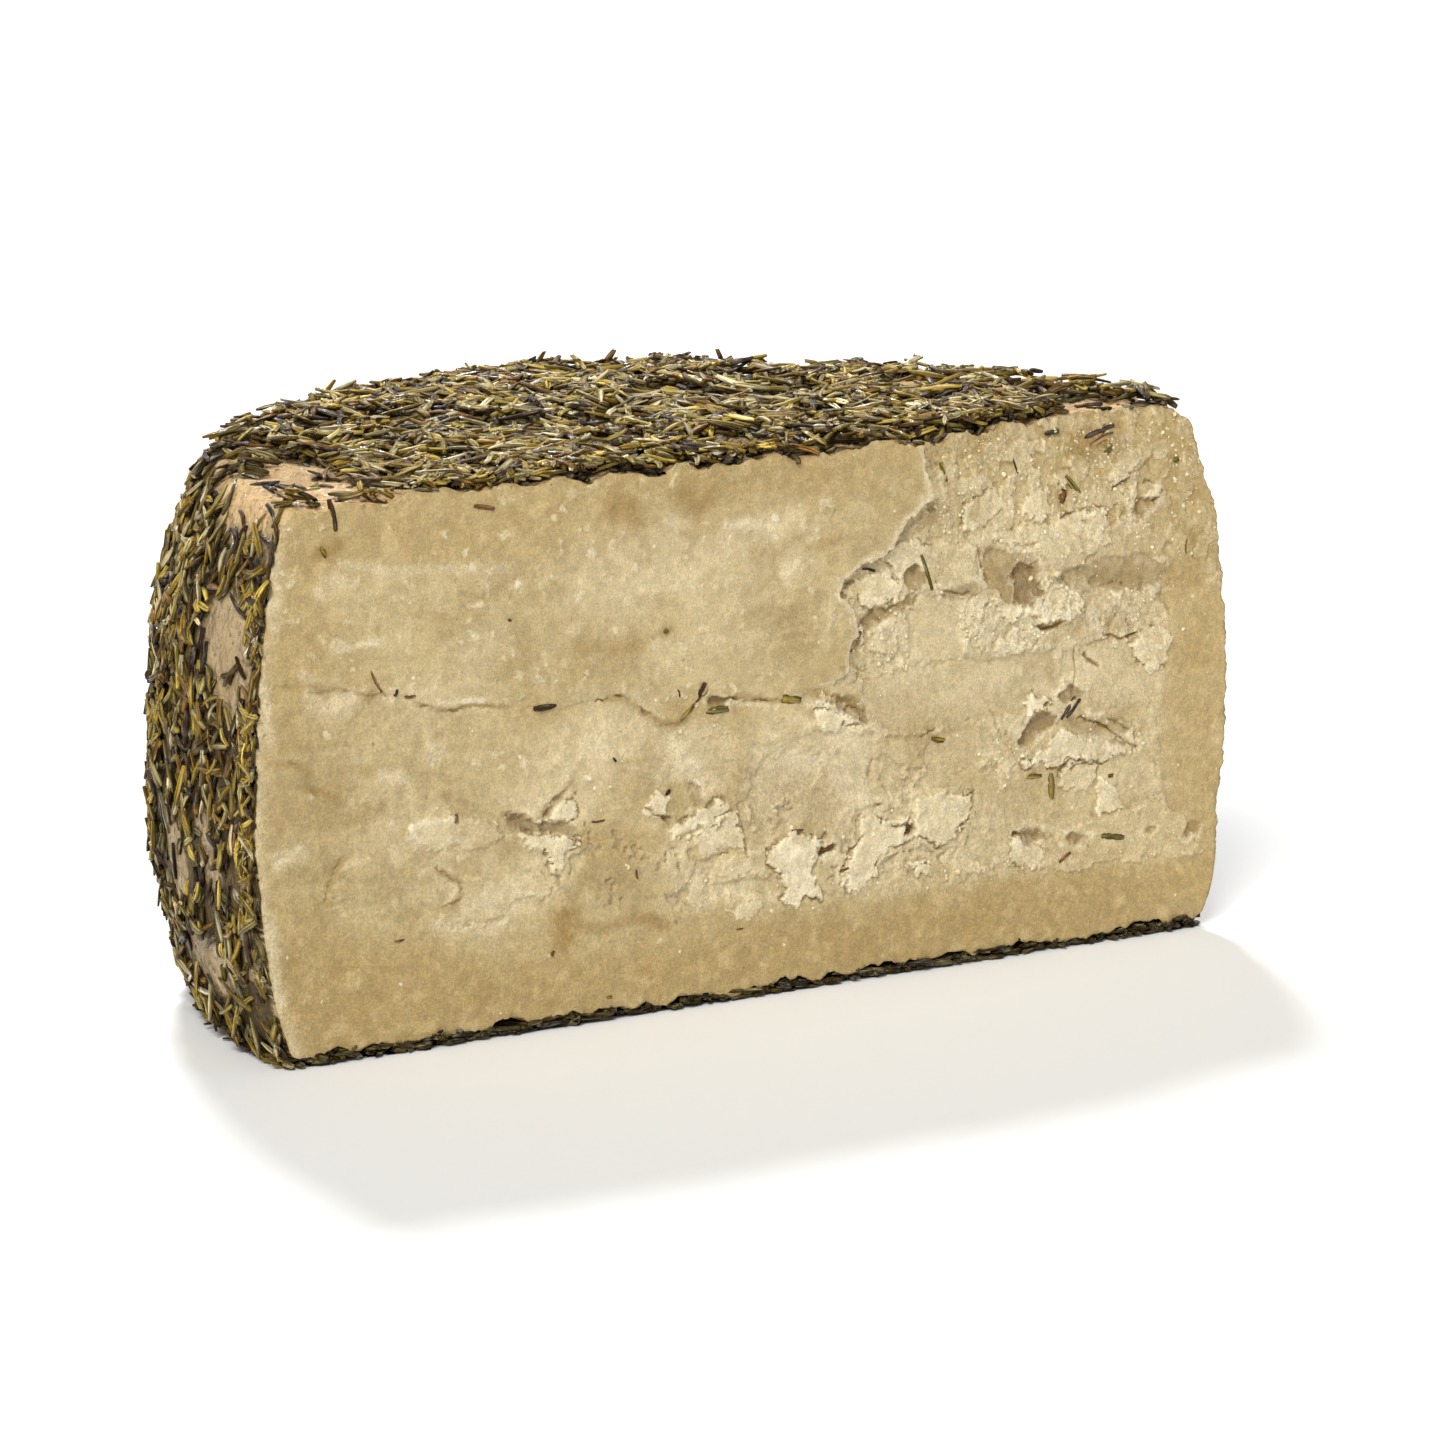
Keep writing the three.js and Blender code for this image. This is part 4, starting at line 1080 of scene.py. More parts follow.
def join_needles(name, corners, colours, shades, material):
    """One mesh of all the needles, from the arrays of their corners, with a colour for each."""
    count, rings, sides, _ = corners.shape
    index = np.arange(count * rings * sides).reshape(count, rings, sides)
    after = np.roll(index, -1, axis=2)
    walls = [index[:, :-1], after[:, :-1], after[:, 1:], index[:, 1:]]
    walls = np.stack(walls, axis=-1).reshape(-1, 4)
    starts, ends = index[:, 0, ::-1], index[:, -1]
    loops = np.concatenate([walls.ravel(), starts.ravel(), ends.ravel()])
    sizes = np.repeat([4, sides], [len(walls), 2 * count])
    rounded = np.repeat([True, False], [len(walls), 2 * count])
    # Each needle's tint carries painted highlight on its ridges and painted shade on its edges and
    # groove.
    painted_light_and_shade = (shades[:, :, None] * SECTION_PAINTED_LIGHT_AND_TONE)[..., None]
    tint = np.concatenate([colours[:, None, None] * painted_light_and_shade, np.ones_like(painted_light_and_shade)], axis=-1)
    strand = np.zeros((count, rings, sides, 3))
    strand[..., 0] = np.arange(sides)[None, None, :] / sides
    strand[..., 1] = np.linspace(0, 1, rings)[None, :, None]
    strand[..., 2] = (np.arange(count) * STRAND_STEP % 1)[:, None, None] * STRAND_RANGE
    carried = [("tint", "FLOAT_COLOR", "color", tint), ("strand", "FLOAT_VECTOR", "vector", strand)]
    return mesh_piece(name, corners, loops, sizes, rounded, material, carried)


def ring_shades(random, count):
    """Lightness along each needle: brighter or darker towards one end."""
    slope = (random.random(count) - 0.5) * 0.6
    stations = np.linspace(-0.5, 0.5, RINGS)
    return np.clip(1 + slope[:, None] * stations[None, :] * 2, 0.4, 1.8)


def edge_depth(x, h):
    """How far the broad form of the cut lies behind the knife's plane, without its fine relief."""
    on_slab = smooth(-0.5, 0.5, inside_distance(x, h, SLAB_EDGE))
    return mix(tear_depth(x, h), 0.0, on_slab)


def trim_at_cut(corners, overhang):
    """Needles end where the knife went through them, give or take a little."""
    near = np.flatnonzero(corners[..., 1].min(axis=(1, 2)) < CUT_Y + 14)
    x, y, z = np.moveaxis(corners[near], -1, 0)
    h = np.clip(z - MAT_THICKNESS, 0, PASTE_HEIGHT)
    limit = CUT_Y + edge_depth(x, h) - overhang[near, None, None]
    corners[near, ..., 1] = np.maximum(y, limit)
    return corners


def from_axis(x, y):
    """Distance of points on the top from the wheel's axis, before the shoulder slumped."""
    return np.sqrt(x**2 + y**2) + slump(np.arctan2(y, x), PASTE_HEIGHT)


def stays_on_top(random, x, y, at_front, reach):
    """Which needles stay on the top: fewer in gaps, on the bare shoulder and by the cut."""
    count = len(x)
    thin = fractal(x, y, 15, 3, 73) + 0.25 * smooth(35, 75, x) * smooth(34, 10, y)
    gaps = smooth(0.3, 0.55, bumps(x, y, 5.5, 76))
    away = from_axis(x, y)
    shoulder = smooth(75, 81, away) * smooth(38, 28, y) * smooth(2, 5, y) * (x < 0)
    keep = random.random(count) < 1 - 0.9 * smooth(0.3, 0.5, thin)
    keep &= random.random(count) > 0.92 * shoulder
    keep &= random.random(count) > 0.85 * gaps
    keep &= away < np.where(x > 50, reach - 3, reach - 0.9 * (x < 0))
    keep &= ~(at_front & (x < -82))
    set_back = (0.6 + 1.3 * bumps(x, 0 * x, 5, 80)) * smooth(-86, -78, x)
    return keep & (y > edge_depth(x, np.full(count, PASTE_HEIGHT)) + set_back)


def top_needles(material):
    """The coat on the flat top: several layers of needles that lie every way, thin in places."""
    random = np.random.default_rng(SEED)
    count = DROPPED_ON_TOP
    reach = TOP_RADIUS + 0.6
    radius = reach * np.sqrt(random.random(count))
    angle = pi * random.random(count)
    x, y = radius * np.cos(angle), radius * np.sin(angle)
    at_front = random.random(count) < 0.045
    front_x = (2 * random.random(count) - 1) * (reach - 2)
    behind = edge_depth(front_x, np.full(count, PASTE_HEIGHT))
    x = np.where(at_front, front_x, x)
    y = np.where(at_front, behind + 4.5 * random.random(count) - 0.4, y)
    keep = stays_on_top(random, x, y, at_front, reach)
    x, y, at_front = x[keep], y[keep], at_front[keep]
    count = len(x)
    sizes = needle_sizes(random, count)
    turn = random.random(count) * pi
    coat = Coat(2 * (WHEEL_RADIUS + COAT_MARGIN), WHEEL_RADIUS + 2 * COAT_MARGIN)
    most = 1.9 + 1.3 * fractal(x, y, 16, 3, 74)
    u, v = x + WHEEL_RADIUS + COAT_MARGIN, y + COAT_MARGIN
    height, slope = drop_needles(random, coat, u, v, turn, sizes, most)
    rim = np.clip(from_axis(x, y) - (TOP_RADIUS - RIM_ROUNDING), 0, RIM_ROUNDING)
    drop = RIM_ROUNDING - np.sqrt(RIM_ROUNDING**2 - rim**2)
    drop = drop + at_front * 0.6 * random.random(count) ** 2
    drop = drop - smooth(14, 4, y) * edge_wave(x, y, 301)
    centre = np.stack([x, CUT_Y + y, MAT_THICKNESS + PASTE_HEIGHT - drop + height], axis=1)
    fall = np.clip(rim / np.sqrt(RIM_ROUNDING**2 - rim**2 + 0.01), 0, 1.3)
    slope = slope - fall * np.cos(turn - np.arctan2(y, x))
    along = np.stack([np.cos(turn), np.sin(turn), slope], axis=1)
    normal = np.tile([0.0, 0.0, 1.0], (count, 1))
    corners = needle_vertices(random, centre, along, normal, sizes)
    overhang = random.random(count) ** 4 * 1.6 + 0.05 - 0.9 * (random.random(count) < 0.6)
    corners = trim_at_cut(corners, overhang)
    # Needles deep in the coat are darkened: painted shade from the needles above them.
    buried = 1 - np.clip(height / most, 0, 1)
    return save_coat("top_needles", random, corners, material, darker=0.88 * buried - 0.06)


def save_coat(name, random, corners, material, darker):
    """The coat's needles as pieces small enough to export, each a like share of them."""
    count = len(corners)
    # darker is painted shade: of buried needles in the coat, and of the mat under the cheese.
    colours = pick_colours(random, count) * (1 - np.broadcast_to(darker, count))[:, None]
    shades = ring_shades(random, count)
    shares = int(np.ceil(count / MOST_NEEDLES))
    pieces = []
    for k in range(shares):
        mine = slice(k, None, shares)
        share = corners[mine], colours[mine], shades[mine]
        pieces.append(join_needles(f"{name}_{k + 1}", *share, material))
    return pieces


# Bare patches of rind behind the left end of the cut: middle and half size, as arc behind the
# cut and height.
BARE_PATCHES = [
    dict(at=(12, 64.5), half=(11, 9)),
    dict(at=(3, 62), half=(5, 5)),
    dict(at=(18, 88), half=(20, 7)),
    dict(at=(4, 17), half=(4.4, 7)),
    dict(at=(24, 11), half=(14, 5.5)),
    dict(at=(34, 26), half=(6, 7)),
    dict(at=(16, 33), half=(4, 7)),
]


def rind_shows(arc, h):
    """Where the rind shows, from 0 to 1; arc runs from the cut's right end to its left."""
    behind = pi * WHEEL_RADIUS - arc
    shows = smooth(-0.16, -0.4, fractal(arc, h, 22, 4, 71, keep=0.6)) * smooth(4, 40, behind)
    at_behind, at_h = ragged(behind, h, 5, 77, spacing=9)
    for patch in BARE_PATCHES:
        across = (at_behind - patch["at"][0]) / patch["half"][0]
        up = (at_h - patch["at"][1]) / patch["half"][1]
        shows = np.maximum(shows, smooth(1.1, 0.75, np.hypot(across, up)))
    return shows


def behind_right_end(corners):
    """Which needles stay out of sight behind the right end of the cut, as the camera sees it."""
    x, y, z = np.moveaxis(corners, -1, 0)
    h = np.clip(z - MAT_THICKNESS, 1, PASTE_HEIGHT - 1)
    end = rind_radius(h) - SEEN_ACROSS * tear_depth(rind_radius(h), h)
    past = (x - SEEN_ACROSS * (y - CUT_Y) - end).max(axis=(1, 2))
    return past < -0.5


def side_lean(angle, h, step=0.3):
    """How far the rind leans outwards for each millimetre up."""
    lean = (rind_radius(h + step) - rind_radius(h - step)) / (2 * step)
    lean = lean - (slump(angle, h + step) - slump(angle, h - step)) / (2 * step)
    return np.clip(lean, -3, 3)


def side_needles(material):
    """The coat round the side: steeper needles, thick in places, with bare rind between."""
    random = np.random.default_rng(SEED + 1)
    count = DROPPED_ON_SIDE
    arc = random.random(count) * pi * WHEEL_RADIUS
    at_end = random.random(count) < 0.025
    arc = np.where(at_end, pi * WHEEL_RADIUS - 3.2 * random.random(count), arc)
    h = random.random(count) * (PASTE_HEIGHT + 0.4) - 0.5
    h = np.where(at_end, 0.86 * h, h)
    keep = random.random(count) < 1 - 0.93 * rind_shows(arc, h)
    gaps = 0.85 * smooth(0.22, 0.5, bumps(arc, h, 6, 78)) * smooth(75, 45, h)
    keep &= random.random(count) > gaps
    arc, h = arc[keep], h[keep]
    count = len(h)
    length, width, thick = needle_sizes(random, count)
    sizes = (0.86 * length, width, thick)
    turn = pi / 2 + (random.random(count) - 0.5) * pi * (0.5 + 0.6 * random.random(count))
    coat = Coat(pi * WHEEL_RADIUS + 2 * COAT_MARGIN, PASTE_HEIGHT + 2 * COAT_MARGIN)
    most = 1.0 + 1.0 * fractal(arc, h, 17, 3, 75)
    u, v = arc + COAT_MARGIN, h + COAT_MARGIN
    height, slope = drop_needles(random, coat, u, v, turn, sizes, most)
    level = np.clip(h, 0.3, PASTE_HEIGHT - 0.3)
    angle = arc / WHEEL_RADIUS
    outward = np.stack([np.cos(angle), np.sin(angle), -side_lean(angle, level)], axis=1)
    outward /= np.linalg.norm(outward, axis=1, keepdims=True)
    tangent = np.stack([-np.sin(angle), np.cos(angle), np.zeros(count)], axis=1)
    upward = np.cross(outward, tangent)
    radius = rind_radius(level) - slump(angle, level)
    x, y = radius * np.cos(angle), radius * np.sin(angle)
    skin = np.stack([x, CUT_Y + y, MAT_THICKNESS + h], axis=1)
    centre = skin + outward * height[:, None]
    along = tangent * np.cos(turn)[:, None] + upward * np.sin(turn)[:, None]
    along = along + outward * slope[:, None]
    corners = needle_vertices(random, centre, along, outward, sizes)
    corners = trim_at_cut(corners, random.random(count) * 0.9)
    corners[..., 2] = np.maximum(corners[..., 2], 0.05)
    stays = behind_right_end(corners)
    # Needles deep in the coat are darkened: painted shade from the needles above them.
    buried = 1 - np.clip(height / most, 0, 1)
    darker = 0.06 + 0.8 * buried[stays] ** 0.8
    return save_coat("side_needles", random, corners[stays], material, darker)


def mat_needles(material):
    """The pressed mat that the cheese stands on, which pokes out round the foot."""
    random = np.random.default_rng(SEED + 2)
    count = DROPPED_IN_MAT
    reach = FOOT_RADIUS - 1.0
    edge = random.random(count) < 0.35
    at_edge, anywhere = reach - 6 * random.random(count), reach * np.sqrt(random.random(count))
    radius = np.where(edge, at_edge, anywhere)
    angle = pi * random.random(count)
    x, y = radius * np.cos(angle), radius * np.sin(angle)
    front = random.random(count) < 0.25
    x = np.where(front, (2 * random.random(count) - 1) * reach, x)
    y = np.where(front, 4 * random.random(count), y)
    keep = x**2 + y**2 < reach**2
    x, y = x[keep], y[keep]
    count = len(x)
    sizes = needle_sizes(random, count)
    turn = random.random(count) * pi
    z = 0.5 + (1.5 + 1.0 * bumps(x, y, 8, 79)) * random.random(count)
    centre = np.stack([x, CUT_Y + y, z], axis=1)
    slope = 0.1 * (random.random(count) - 0.5)
    along = np.stack([np.cos(turn), np.sin(turn), slope], axis=1)
    normal = np.tile([0.0, 0.0, 1.0], (count, 1))
    corners = needle_vertices(random, centre, along, normal, sizes, bend=0.3)
    overhang = random.random(count) ** 2 * 1.4
    corners[..., 1] = np.maximum(corners[..., 1], CUT_Y + 0.5 - overhang[:, None, None])
    corners[..., 2] = np.clip(corners[..., 2], 0.02, None)
    # The whole mat is darkened: painted shade under the cheese.
    return save_coat("mat_needles", random, corners, material, darker=0.74)


# sRGB colours of the bedded needles.
OLIVE = (140, 118, 40)
DARK = (60, 42, 22)
GREEN = (112, 104, 42)
TAN = (170, 130, 84)
BROWN = (122, 82, 44)

# Needles bedded in the cut: middle, length, width and turn in degrees, and colour.
BEDDED = [
    ((-44.8, 51.5), 4.3, 1.1, 1, DARK),
    ((-13.8, 50.6), 3.6, 1.0, 66, DARK),
    ((-16.6, 47.6), 3.4, 0.9, 40, OLIVE),
    ((-10.3, 47.3), 4.5, 1.3, 0, GREEN),
    ((4.8, 47.3), 4.0, 1.8, -14, OLIVE),
    ((35.7, 37.1), 2.8, 1.1, -14, OLIVE),
    ((63.4, 39.6), 4.8, 0.8, 46, DARK),
    ((64.5, 39.4), 4.2, 0.7, 46, DARK),
    ((56.4, 28.5), 3.1, 1.0, -2, OLIVE),
    ((60.0, 26.4), 4.4, 1.5, -86, OLIVE),
    ((73.3, 16.2), 5.0, 1.2, -10, GREEN),
    ((62.9, 13.9), 3.0, 0.7, 28, BROWN),
    ((32.3, 66.0), 6.4, 0.9, -70, GREEN),
    ((35.7, 82.6), 3.6, 0.7, -66, OLIVE),
    ((51.0, 82.2), 3.1, 0.4, -70, DARK),
    ((58.8, 87.4), 3.3, 0.9, 2, DARK),
    ((69.2, 86.6), 7.4, 1.1, 12, (64, 40, 36)),
    ((69.8, 85.2), 6.2, 1.3, 16, TAN),
    ((71.2, 83.3), 2.4, 0.9, 20, GREEN),
    ((63.5, 77.9), 4.8, 1.1, -46, GREEN),
    ((61.3, 76.2), 2.4, 1.5, 70, BROWN),
    ((86.4, 80.2), 1.4, 1.0, 10, GREEN),
    ((88.6, 65.0), 2.4, 0.45, 84, OLIVE),
    ((-57.0, 85.3), 4.0, 0.9, -12, BROWN),
    ((-85.9, 86.8), 5.4, 1.0, -76, DARK),
    ((-87.5, 81.0), 2.0, 1.2, -60, OLIVE),
    ((-77.6, 59.2), 4.2, 0.5, -60, BROWN),
    ((-73.7, 57.0), 1.2, 0.7, 70, DARK),
    ((-71.0, 56.1), 1.9, 0.6, 0, BROWN),
    ((-34.0, 31.4), 2.6, 0.5, 0, BROWN),
    ((-19.8, 34.5), 1.2, 0.8, 50, DARK),
    ((-26.2, 21.7), 1.7, 0.5, -80, BROWN),
    ((-30.8, 41.3), 1.0, 0.5, -50, DARK),
    ((-51.9, 66.5), 0.9, 0.5, -20, BROWN),
    ((-72.7, 16.5), 2.0, 0.5, 4, BROWN),
    ((-43.0, 10.7), 1.0, 0.7, 60, BROWN),
    ((-31.7, 2.0), 1.2, 0.6, 0, OLIVE),
    ((-5.3, 10.0), 1.6, 0.5, 0, BROWN),
    ((-21.0, 61.5), 1.0, 0.9, 0, OLIVE),
    ((-18.2, 51.0), 1.4, 0.4, -70, DARK),
    ((6.4, 25.2), 2.8, 0.4, -6, BROWN),
    ((12.6, 21.4), 3.0, 0.7, 14, BROWN),
    ((29.6, 22.0), 1.6, 1.3, 0, BROWN),
    ((16.2, 17.4), 1.5, 0.5, 22, BROWN),
    ((72.9, 26.8), 1.0, 0.8, 0, BROWN),
    ((71.0, 35.6), 3.0, 0.6, -30, OLIVE),
    ((20.4, 67.6), 2.6, 0.6, -14, DARK),
    ((18.6, 56.8), 1.4, 0.8, 60, BROWN),
    ((-62.0, 35.2), 1.5, 0.6, 66, BROWN),
]


def bedded_needles(material):
    """Needles bedded in the paste, which lie along the surface of the cut."""
    random = np.random.default_rng(SEED + 3)
    count = len(BEDDED)
    places, length, width, turn, colours = zip(*BEDDED)
    x, h = np.array(places).T
    length, width, turn = np.array(length), np.array(width), np.radians(turn)
    thick = np.minimum(width, 0.9) * 0.8
    on_slab = inside_distance(x, h, SLAB_EDGE) > 0
    torn_x, torn_h = behind_seen(x, h)
    x, h = np.where(on_slab, x, torn_x), np.where(on_slab, h, torn_h)
    along_x, along_h = np.cos(turn), np.sin(turn)
    reach = 0.4 * length
    ends = [cut_relief(x + s * reach * along_x, h + s * reach * along_h)[0] for s in (-1, 1)]
    middle = np.minimum(cut_relief(x, h)[0], (ends[0] + ends[1]) / 2)
    slope = np.clip((ends[1] - ends[0]) / (2 * reach), -0.3, 0.3)
    centre = np.stack([x, CUT_Y + middle + 0.05, MAT_THICKNESS + h], axis=1)
    along = np.stack([along_x, slope, along_h], axis=1)
    normal = np.tile([0.0, -1.0, 0.0], (count, 1))
    sizes = (length, width, thick)
    corners = needle_vertices(random, centre, along, normal, sizes, bend=0.15)
    tints = np.array([linear(colour) for colour in colours])
    return join_needles("bedded_needles", corners, tints, ring_shades(random, count), material)


CRUMB_CANDIDATES = 60000
MOST_CRUMBS = 3600
STRAY_CRUMBS = 0.006


def round_grain():
    """Corners and faces of one grain, before it is made uneven."""
    bm = bmesh.new()
    bmesh.ops.create_icosphere(bm, subdivisions=1, radius=0.5)
    corners = np.array([vert.co[:] for vert in bm.verts])
    faces = np.array([[vert.index for vert in face.verts] for face in bm.faces])
    bm.free()
    return corners, faces


def crumbs(material):
    """Loose crumbs and crystals of cheese that cling to the torn surface."""
    random = np.random.default_rng(SEED + 4)
    x = -60 + 158 * random.random(CRUMB_CANDIDATES)
    h = 8 + 79 * random.random(CRUMB_CANDIDATES)
    depth, white, rough, grey = cut_relief(x, h)
    on_slab = inside_distance(x, h, SLAB_EDGE) > -0.2
    clump = smooth(-0.2, 0.6, fractal(x, h, 6, 3, 501))
    flakes = smooth(0.45, 0.8, white) * smooth(-60, -44, x)
    chance = (0.7 * rough**2 + 0.25 * flakes) * (0.1 + clump) * (1 - 0.8 * grey)
    chance = np.where(on_slab, STRAY_CRUMBS, chance + STRAY_CRUMBS)
    inside = x**2 + depth**2 < (rind_radius(h) - 0.6) ** 2
    lies = (random.random(CRUMB_CANDIDATES) < chance) & inside
    chosen = np.flatnonzero(lies)[:MOST_CRUMBS]
    count = len(chosen)
    x, h, depth, on_slab = x[chosen], h[chosen], depth[chosen], on_slab[chosen]
    size = np.where(on_slab, 0.3, 0.22 + 0.75 * random.random(count) ** 3.5)
    grain, faces = round_grain()
    uneven = 0.72 + 0.5 * random.random((count, len(grain), 1))
    squash = 0.65 + 0.7 * random.random((count, 1, 3))
    turn = random.random((count, 1)) * 2 * pi
    corners = grain[None] * uneven * squash * size[:, None, None]
    turned_x = corners[..., 0] * np.cos(turn) - corners[..., 2] * np.sin(turn)
    turned_z = corners[..., 0] * np.sin(turn) + corners[..., 2] * np.cos(turn)
    sunk = depth + np.where(on_slab, 0.1, 0.0) + 0.12 * size
    places = [turned_x + x[:, None], corners[..., 1] + (CUT_Y + sunk)[:, None],
              turned_z + (MAT_THICKNESS + h)[:, None]]
    loops = (faces[None] + (np.arange(count) * len(grain))[:, None, None]).reshape(-1)
    sizes = np.full(count * len(faces), 3)
    tones = np.zeros((count, len(grain), 4))
    tones[..., 0] = 0.35 + 0.6 * random.random((count, 1))
    tones[..., 1] = 0.5
    rounded = np.ones(len(sizes), dtype=bool)
    carried = [("tone", "FLOAT_COLOR", "color", tones)]
    return mesh_piece("crumbs", np.stack(places, -1), loops, sizes, rounded, material, carried)


# Materials, and the sRGB colours that they mix.
PASTE_PALE, PASTE_DEEP = (192, 171, 122), (168, 144, 92)
PASTE_STREAK, PASTE_CLOUD, PASTE_DULL = (208, 190, 143), (212, 194, 148), (156, 130, 78)
PASTE_CREAM, PASTE_GOLDEN, PASTE_PATCH = (230, 214, 174), (166, 138, 76), (208, 184, 132)
BROKEN_WHITE, GLASSY_GREY_AND_SHADE = (236, 223, 190), (140, 118, 84)
# The first two are painted shade in sunk places and painted highlight on proud edges; the third is
# the smears' own colour.
PAINTED_SHADE_BROWN, PAINTED_HIGHLIGHT_PALE, SMEAR_BROWN = (142, 114, 66), (232, 218, 182), (148, 116, 56)
CRYSTAL_WHITE, FLECK_PALE, PIT_BROWN = (240, 230, 204), (232, 218, 184), (140, 110, 62)
RIND_PALE, RIND_DEEP, RIND_TOP = (191, 167, 128), (165, 142, 105), (214, 178, 126)
RIND_STAIN, RIND_BIT = (136, 104, 68), (78, 54, 32)
LITTER_AND_SHADE_DARK, LITTER_OLIVE = (46, 32, 14), (120, 100, 46)
STREAK_DARK, STREAK_PALE = (42, 27, 4), (222, 208, 152)


class Nodes:
    """Short ways to add and join the nodes of one material."""

    def __init__(self, name):
        self.material = bpy.data.materials.new(name)
        self.material.use_nodes = True
        self.tree = self.material.node_tree
        self.shader = self.tree.nodes["Principled BSDF"]

    def add(self, kind, **settings):
        """A node with its settings, which are its own properties or its sockets' values."""
        node = self.tree.nodes.new(kind)
        for key, value in settings.items():
            if hasattr(node, key):
                setattr(node, key, value)
            else:
                node.inputs[key.replace("_", " ")].default_value = value
        return node

    def join(self, output, target):
        """A link from one node's output to another's input."""
        self.tree.links.new(output, target)

    def put(self, **outputs):
        """Joins outputs to the shader's sockets of those names."""
        for name, output in outputs.items():
            self.join(output, self.shader.inputs[name.replace("_", " ")])

    def fix(self, values):
        """Sets values on the shader's own sockets."""
        for name, value in values.items():
            self.shader.inputs[name].default_value = value

    def place(self):
        """Where each point lies on the object, in metres."""
        return self.add("ShaderNodeTexCoord").outputs["Object"]

    def carried(self, name):
        """What the mesh carries at each vertex under this name."""
        return self.add("ShaderNodeAttribute", attribute_name=name).outputs

    def stretched(self, vector, scale):
        """The place scaled, so that a pattern there is drawn out where the scale is small."""
        node = self.add("ShaderNodeMapping", Scale=scale)
        self.join(vector, node.inputs["Vector"])
        return node.outputs["Vector"]

    def noise(self, vector, scale, detail=3.0, roughness=0.5):
        """Noise with about this many bumps to the metre."""
        node = self.add("ShaderNodeTexNoise", Scale=scale, Detail=detail, Roughness=roughness)
        self.join(vector, node.inputs["Vector"])
        return node.outputs["Fac"]

    def spots(self, vector, scale, edge, middle):
        """Round spots, 0 outside the edge's distance and 1 inside the middle's."""
        node = self.add("ShaderNodeTexVoronoi", Scale=scale)
        self.join(vector, node.inputs["Vector"])
        return self.spread(node.outputs["Distance"], edge, middle)

    def spread(self, value, low, high, out_low=0.0, out_high=1.0):
        """A smooth step from out_low, where the value is low, to out_high."""
        node = self.add("ShaderNodeMapRange", interpolation_type="SMOOTHSTEP")
        self.join(value, node.inputs["Value"])
        node.inputs["From Min"].default_value = low
        node.inputs["From Max"].default_value = high
        node.inputs["To Min"].default_value = out_low
        node.inputs["To Max"].default_value = out_high
        return node.outputs["Result"]

    def blend(self, share, first, second, how="MIX"):
        """The second colour over the first, by a share."""
        node = self.add("ShaderNodeMix", data_type="RGBA", blend_type=how)
        for value, name in ((share, "Factor_Float"), (first, "A_Color"), (second, "B_Color")):
            socket = next(s for s in node.inputs if s.identifier == name)
            if isinstance(value, bpy.types.NodeSocket):
                self.join(value, socket)
            elif isinstance(value, float):
                socket.default_value = value
            else:
                socket.default_value = (*linear(value), 1)
        return next(s for s in node.outputs if s.identifier == "Result_Color")

    def layer(self, colour, share, most, tint):
        """A tint laid over the colour where the share is high, at most this strongly."""
        return self.blend(self.times(share, most), colour, tint)

    def sum(self, first, second, how="ADD"):
        """Two values added, or joined by another operation."""
        node = self.add("ShaderNodeMath", operation=how)
        for value, socket in ((first, node.inputs[0]), (second, node.inputs[1])):
            if isinstance(value, bpy.types.NodeSocket):
                self.join(value, socket)
            else:
                socket.default_value = value
        return node.outputs[0]

    def times(self, first, second):
        """Two values multiplied."""
        return self.sum(first, second, "MULTIPLY")

    def bump(self, height, strength, distance, below=None):
        """A surface raised by the height, on top of another bump."""
        node = self.add("ShaderNodeBump", Strength=strength, Distance=distance)
        self.join(height, node.inputs["Height"])
        if below is not None:
            self.join(below, node.inputs["Normal"])
        return node.outputs["Normal"]


def broken_white(n, at, white):
    """Whiteness with a crumbly edge, where it is neither full nor none."""
    crumbly = n.noise(at, 2300, 3, 0.6)
    half_white = n.times(white, n.sum(1.0, white, "SUBTRACT"))
    wobble = n.times(n.sum(crumbly, 0.5, "SUBTRACT"), n.times(half_white, 4.6))
    pale = n.add("ShaderNodeClamp")
    n.join(n.sum(white, wobble), pale.inputs["Value"])
    return pale.outputs["Result"]


def fine_marks(n, at, colour):
    """Speckles, grains, crystals, pale flecks and small pits, each at its own scale."""
    for scale, detail, roughness, high, low, darkest, lightest in (
        (620, 4, 0.65, 0.62, 0.38, 0.9, 1.07),
        (2700, 2, 0.6, 0.66, 0.34, 0.87, 1.11),
    ):
        speckle = n.spread(n.noise(at, scale, detail, roughness), high, low, darkest, lightest)
        colour = n.blend(1.0, colour, speckle, "MULTIPLY")
    crystal = n.times(n.spots(at, 420.0, 0.2, 0.1), n.spread(n.noise(at, 300, 2), 0.64, 0.68))
    colour = n.layer(colour, crystal, 0.75, CRYSTAL_WHITE)
    warp = n.add("ShaderNodeTexNoise", Scale=900.0, Detail=2.0)
    n.join(at, warp.inputs["Vector"])
    shift = n.add("ShaderNodeVectorMath", operation="MULTIPLY_ADD")
    n.join(warp.outputs["Color"], shift.inputs[0])
    shift.inputs[1].default_value = (0.0016, 0.0016, 0.0016)
    n.join(at, shift.inputs[2])
    uneven = shift.outputs["Vector"]
    fleck = n.times(n.spots(uneven, 170.0, 0.14, 0.09), n.spread(n.noise(at, 90, 3), 0.5, 0.6))
    colour = n.layer(colour, fleck, 0.55, FLECK_PALE)
    pit = n.times(n.spots(uneven, 210.0, 0.1, 0.05), n.spread(n.noise(at, 75, 3), 0.48, 0.42))
    return n.layer(colour, pit, 0.6, PIT_BROWN)


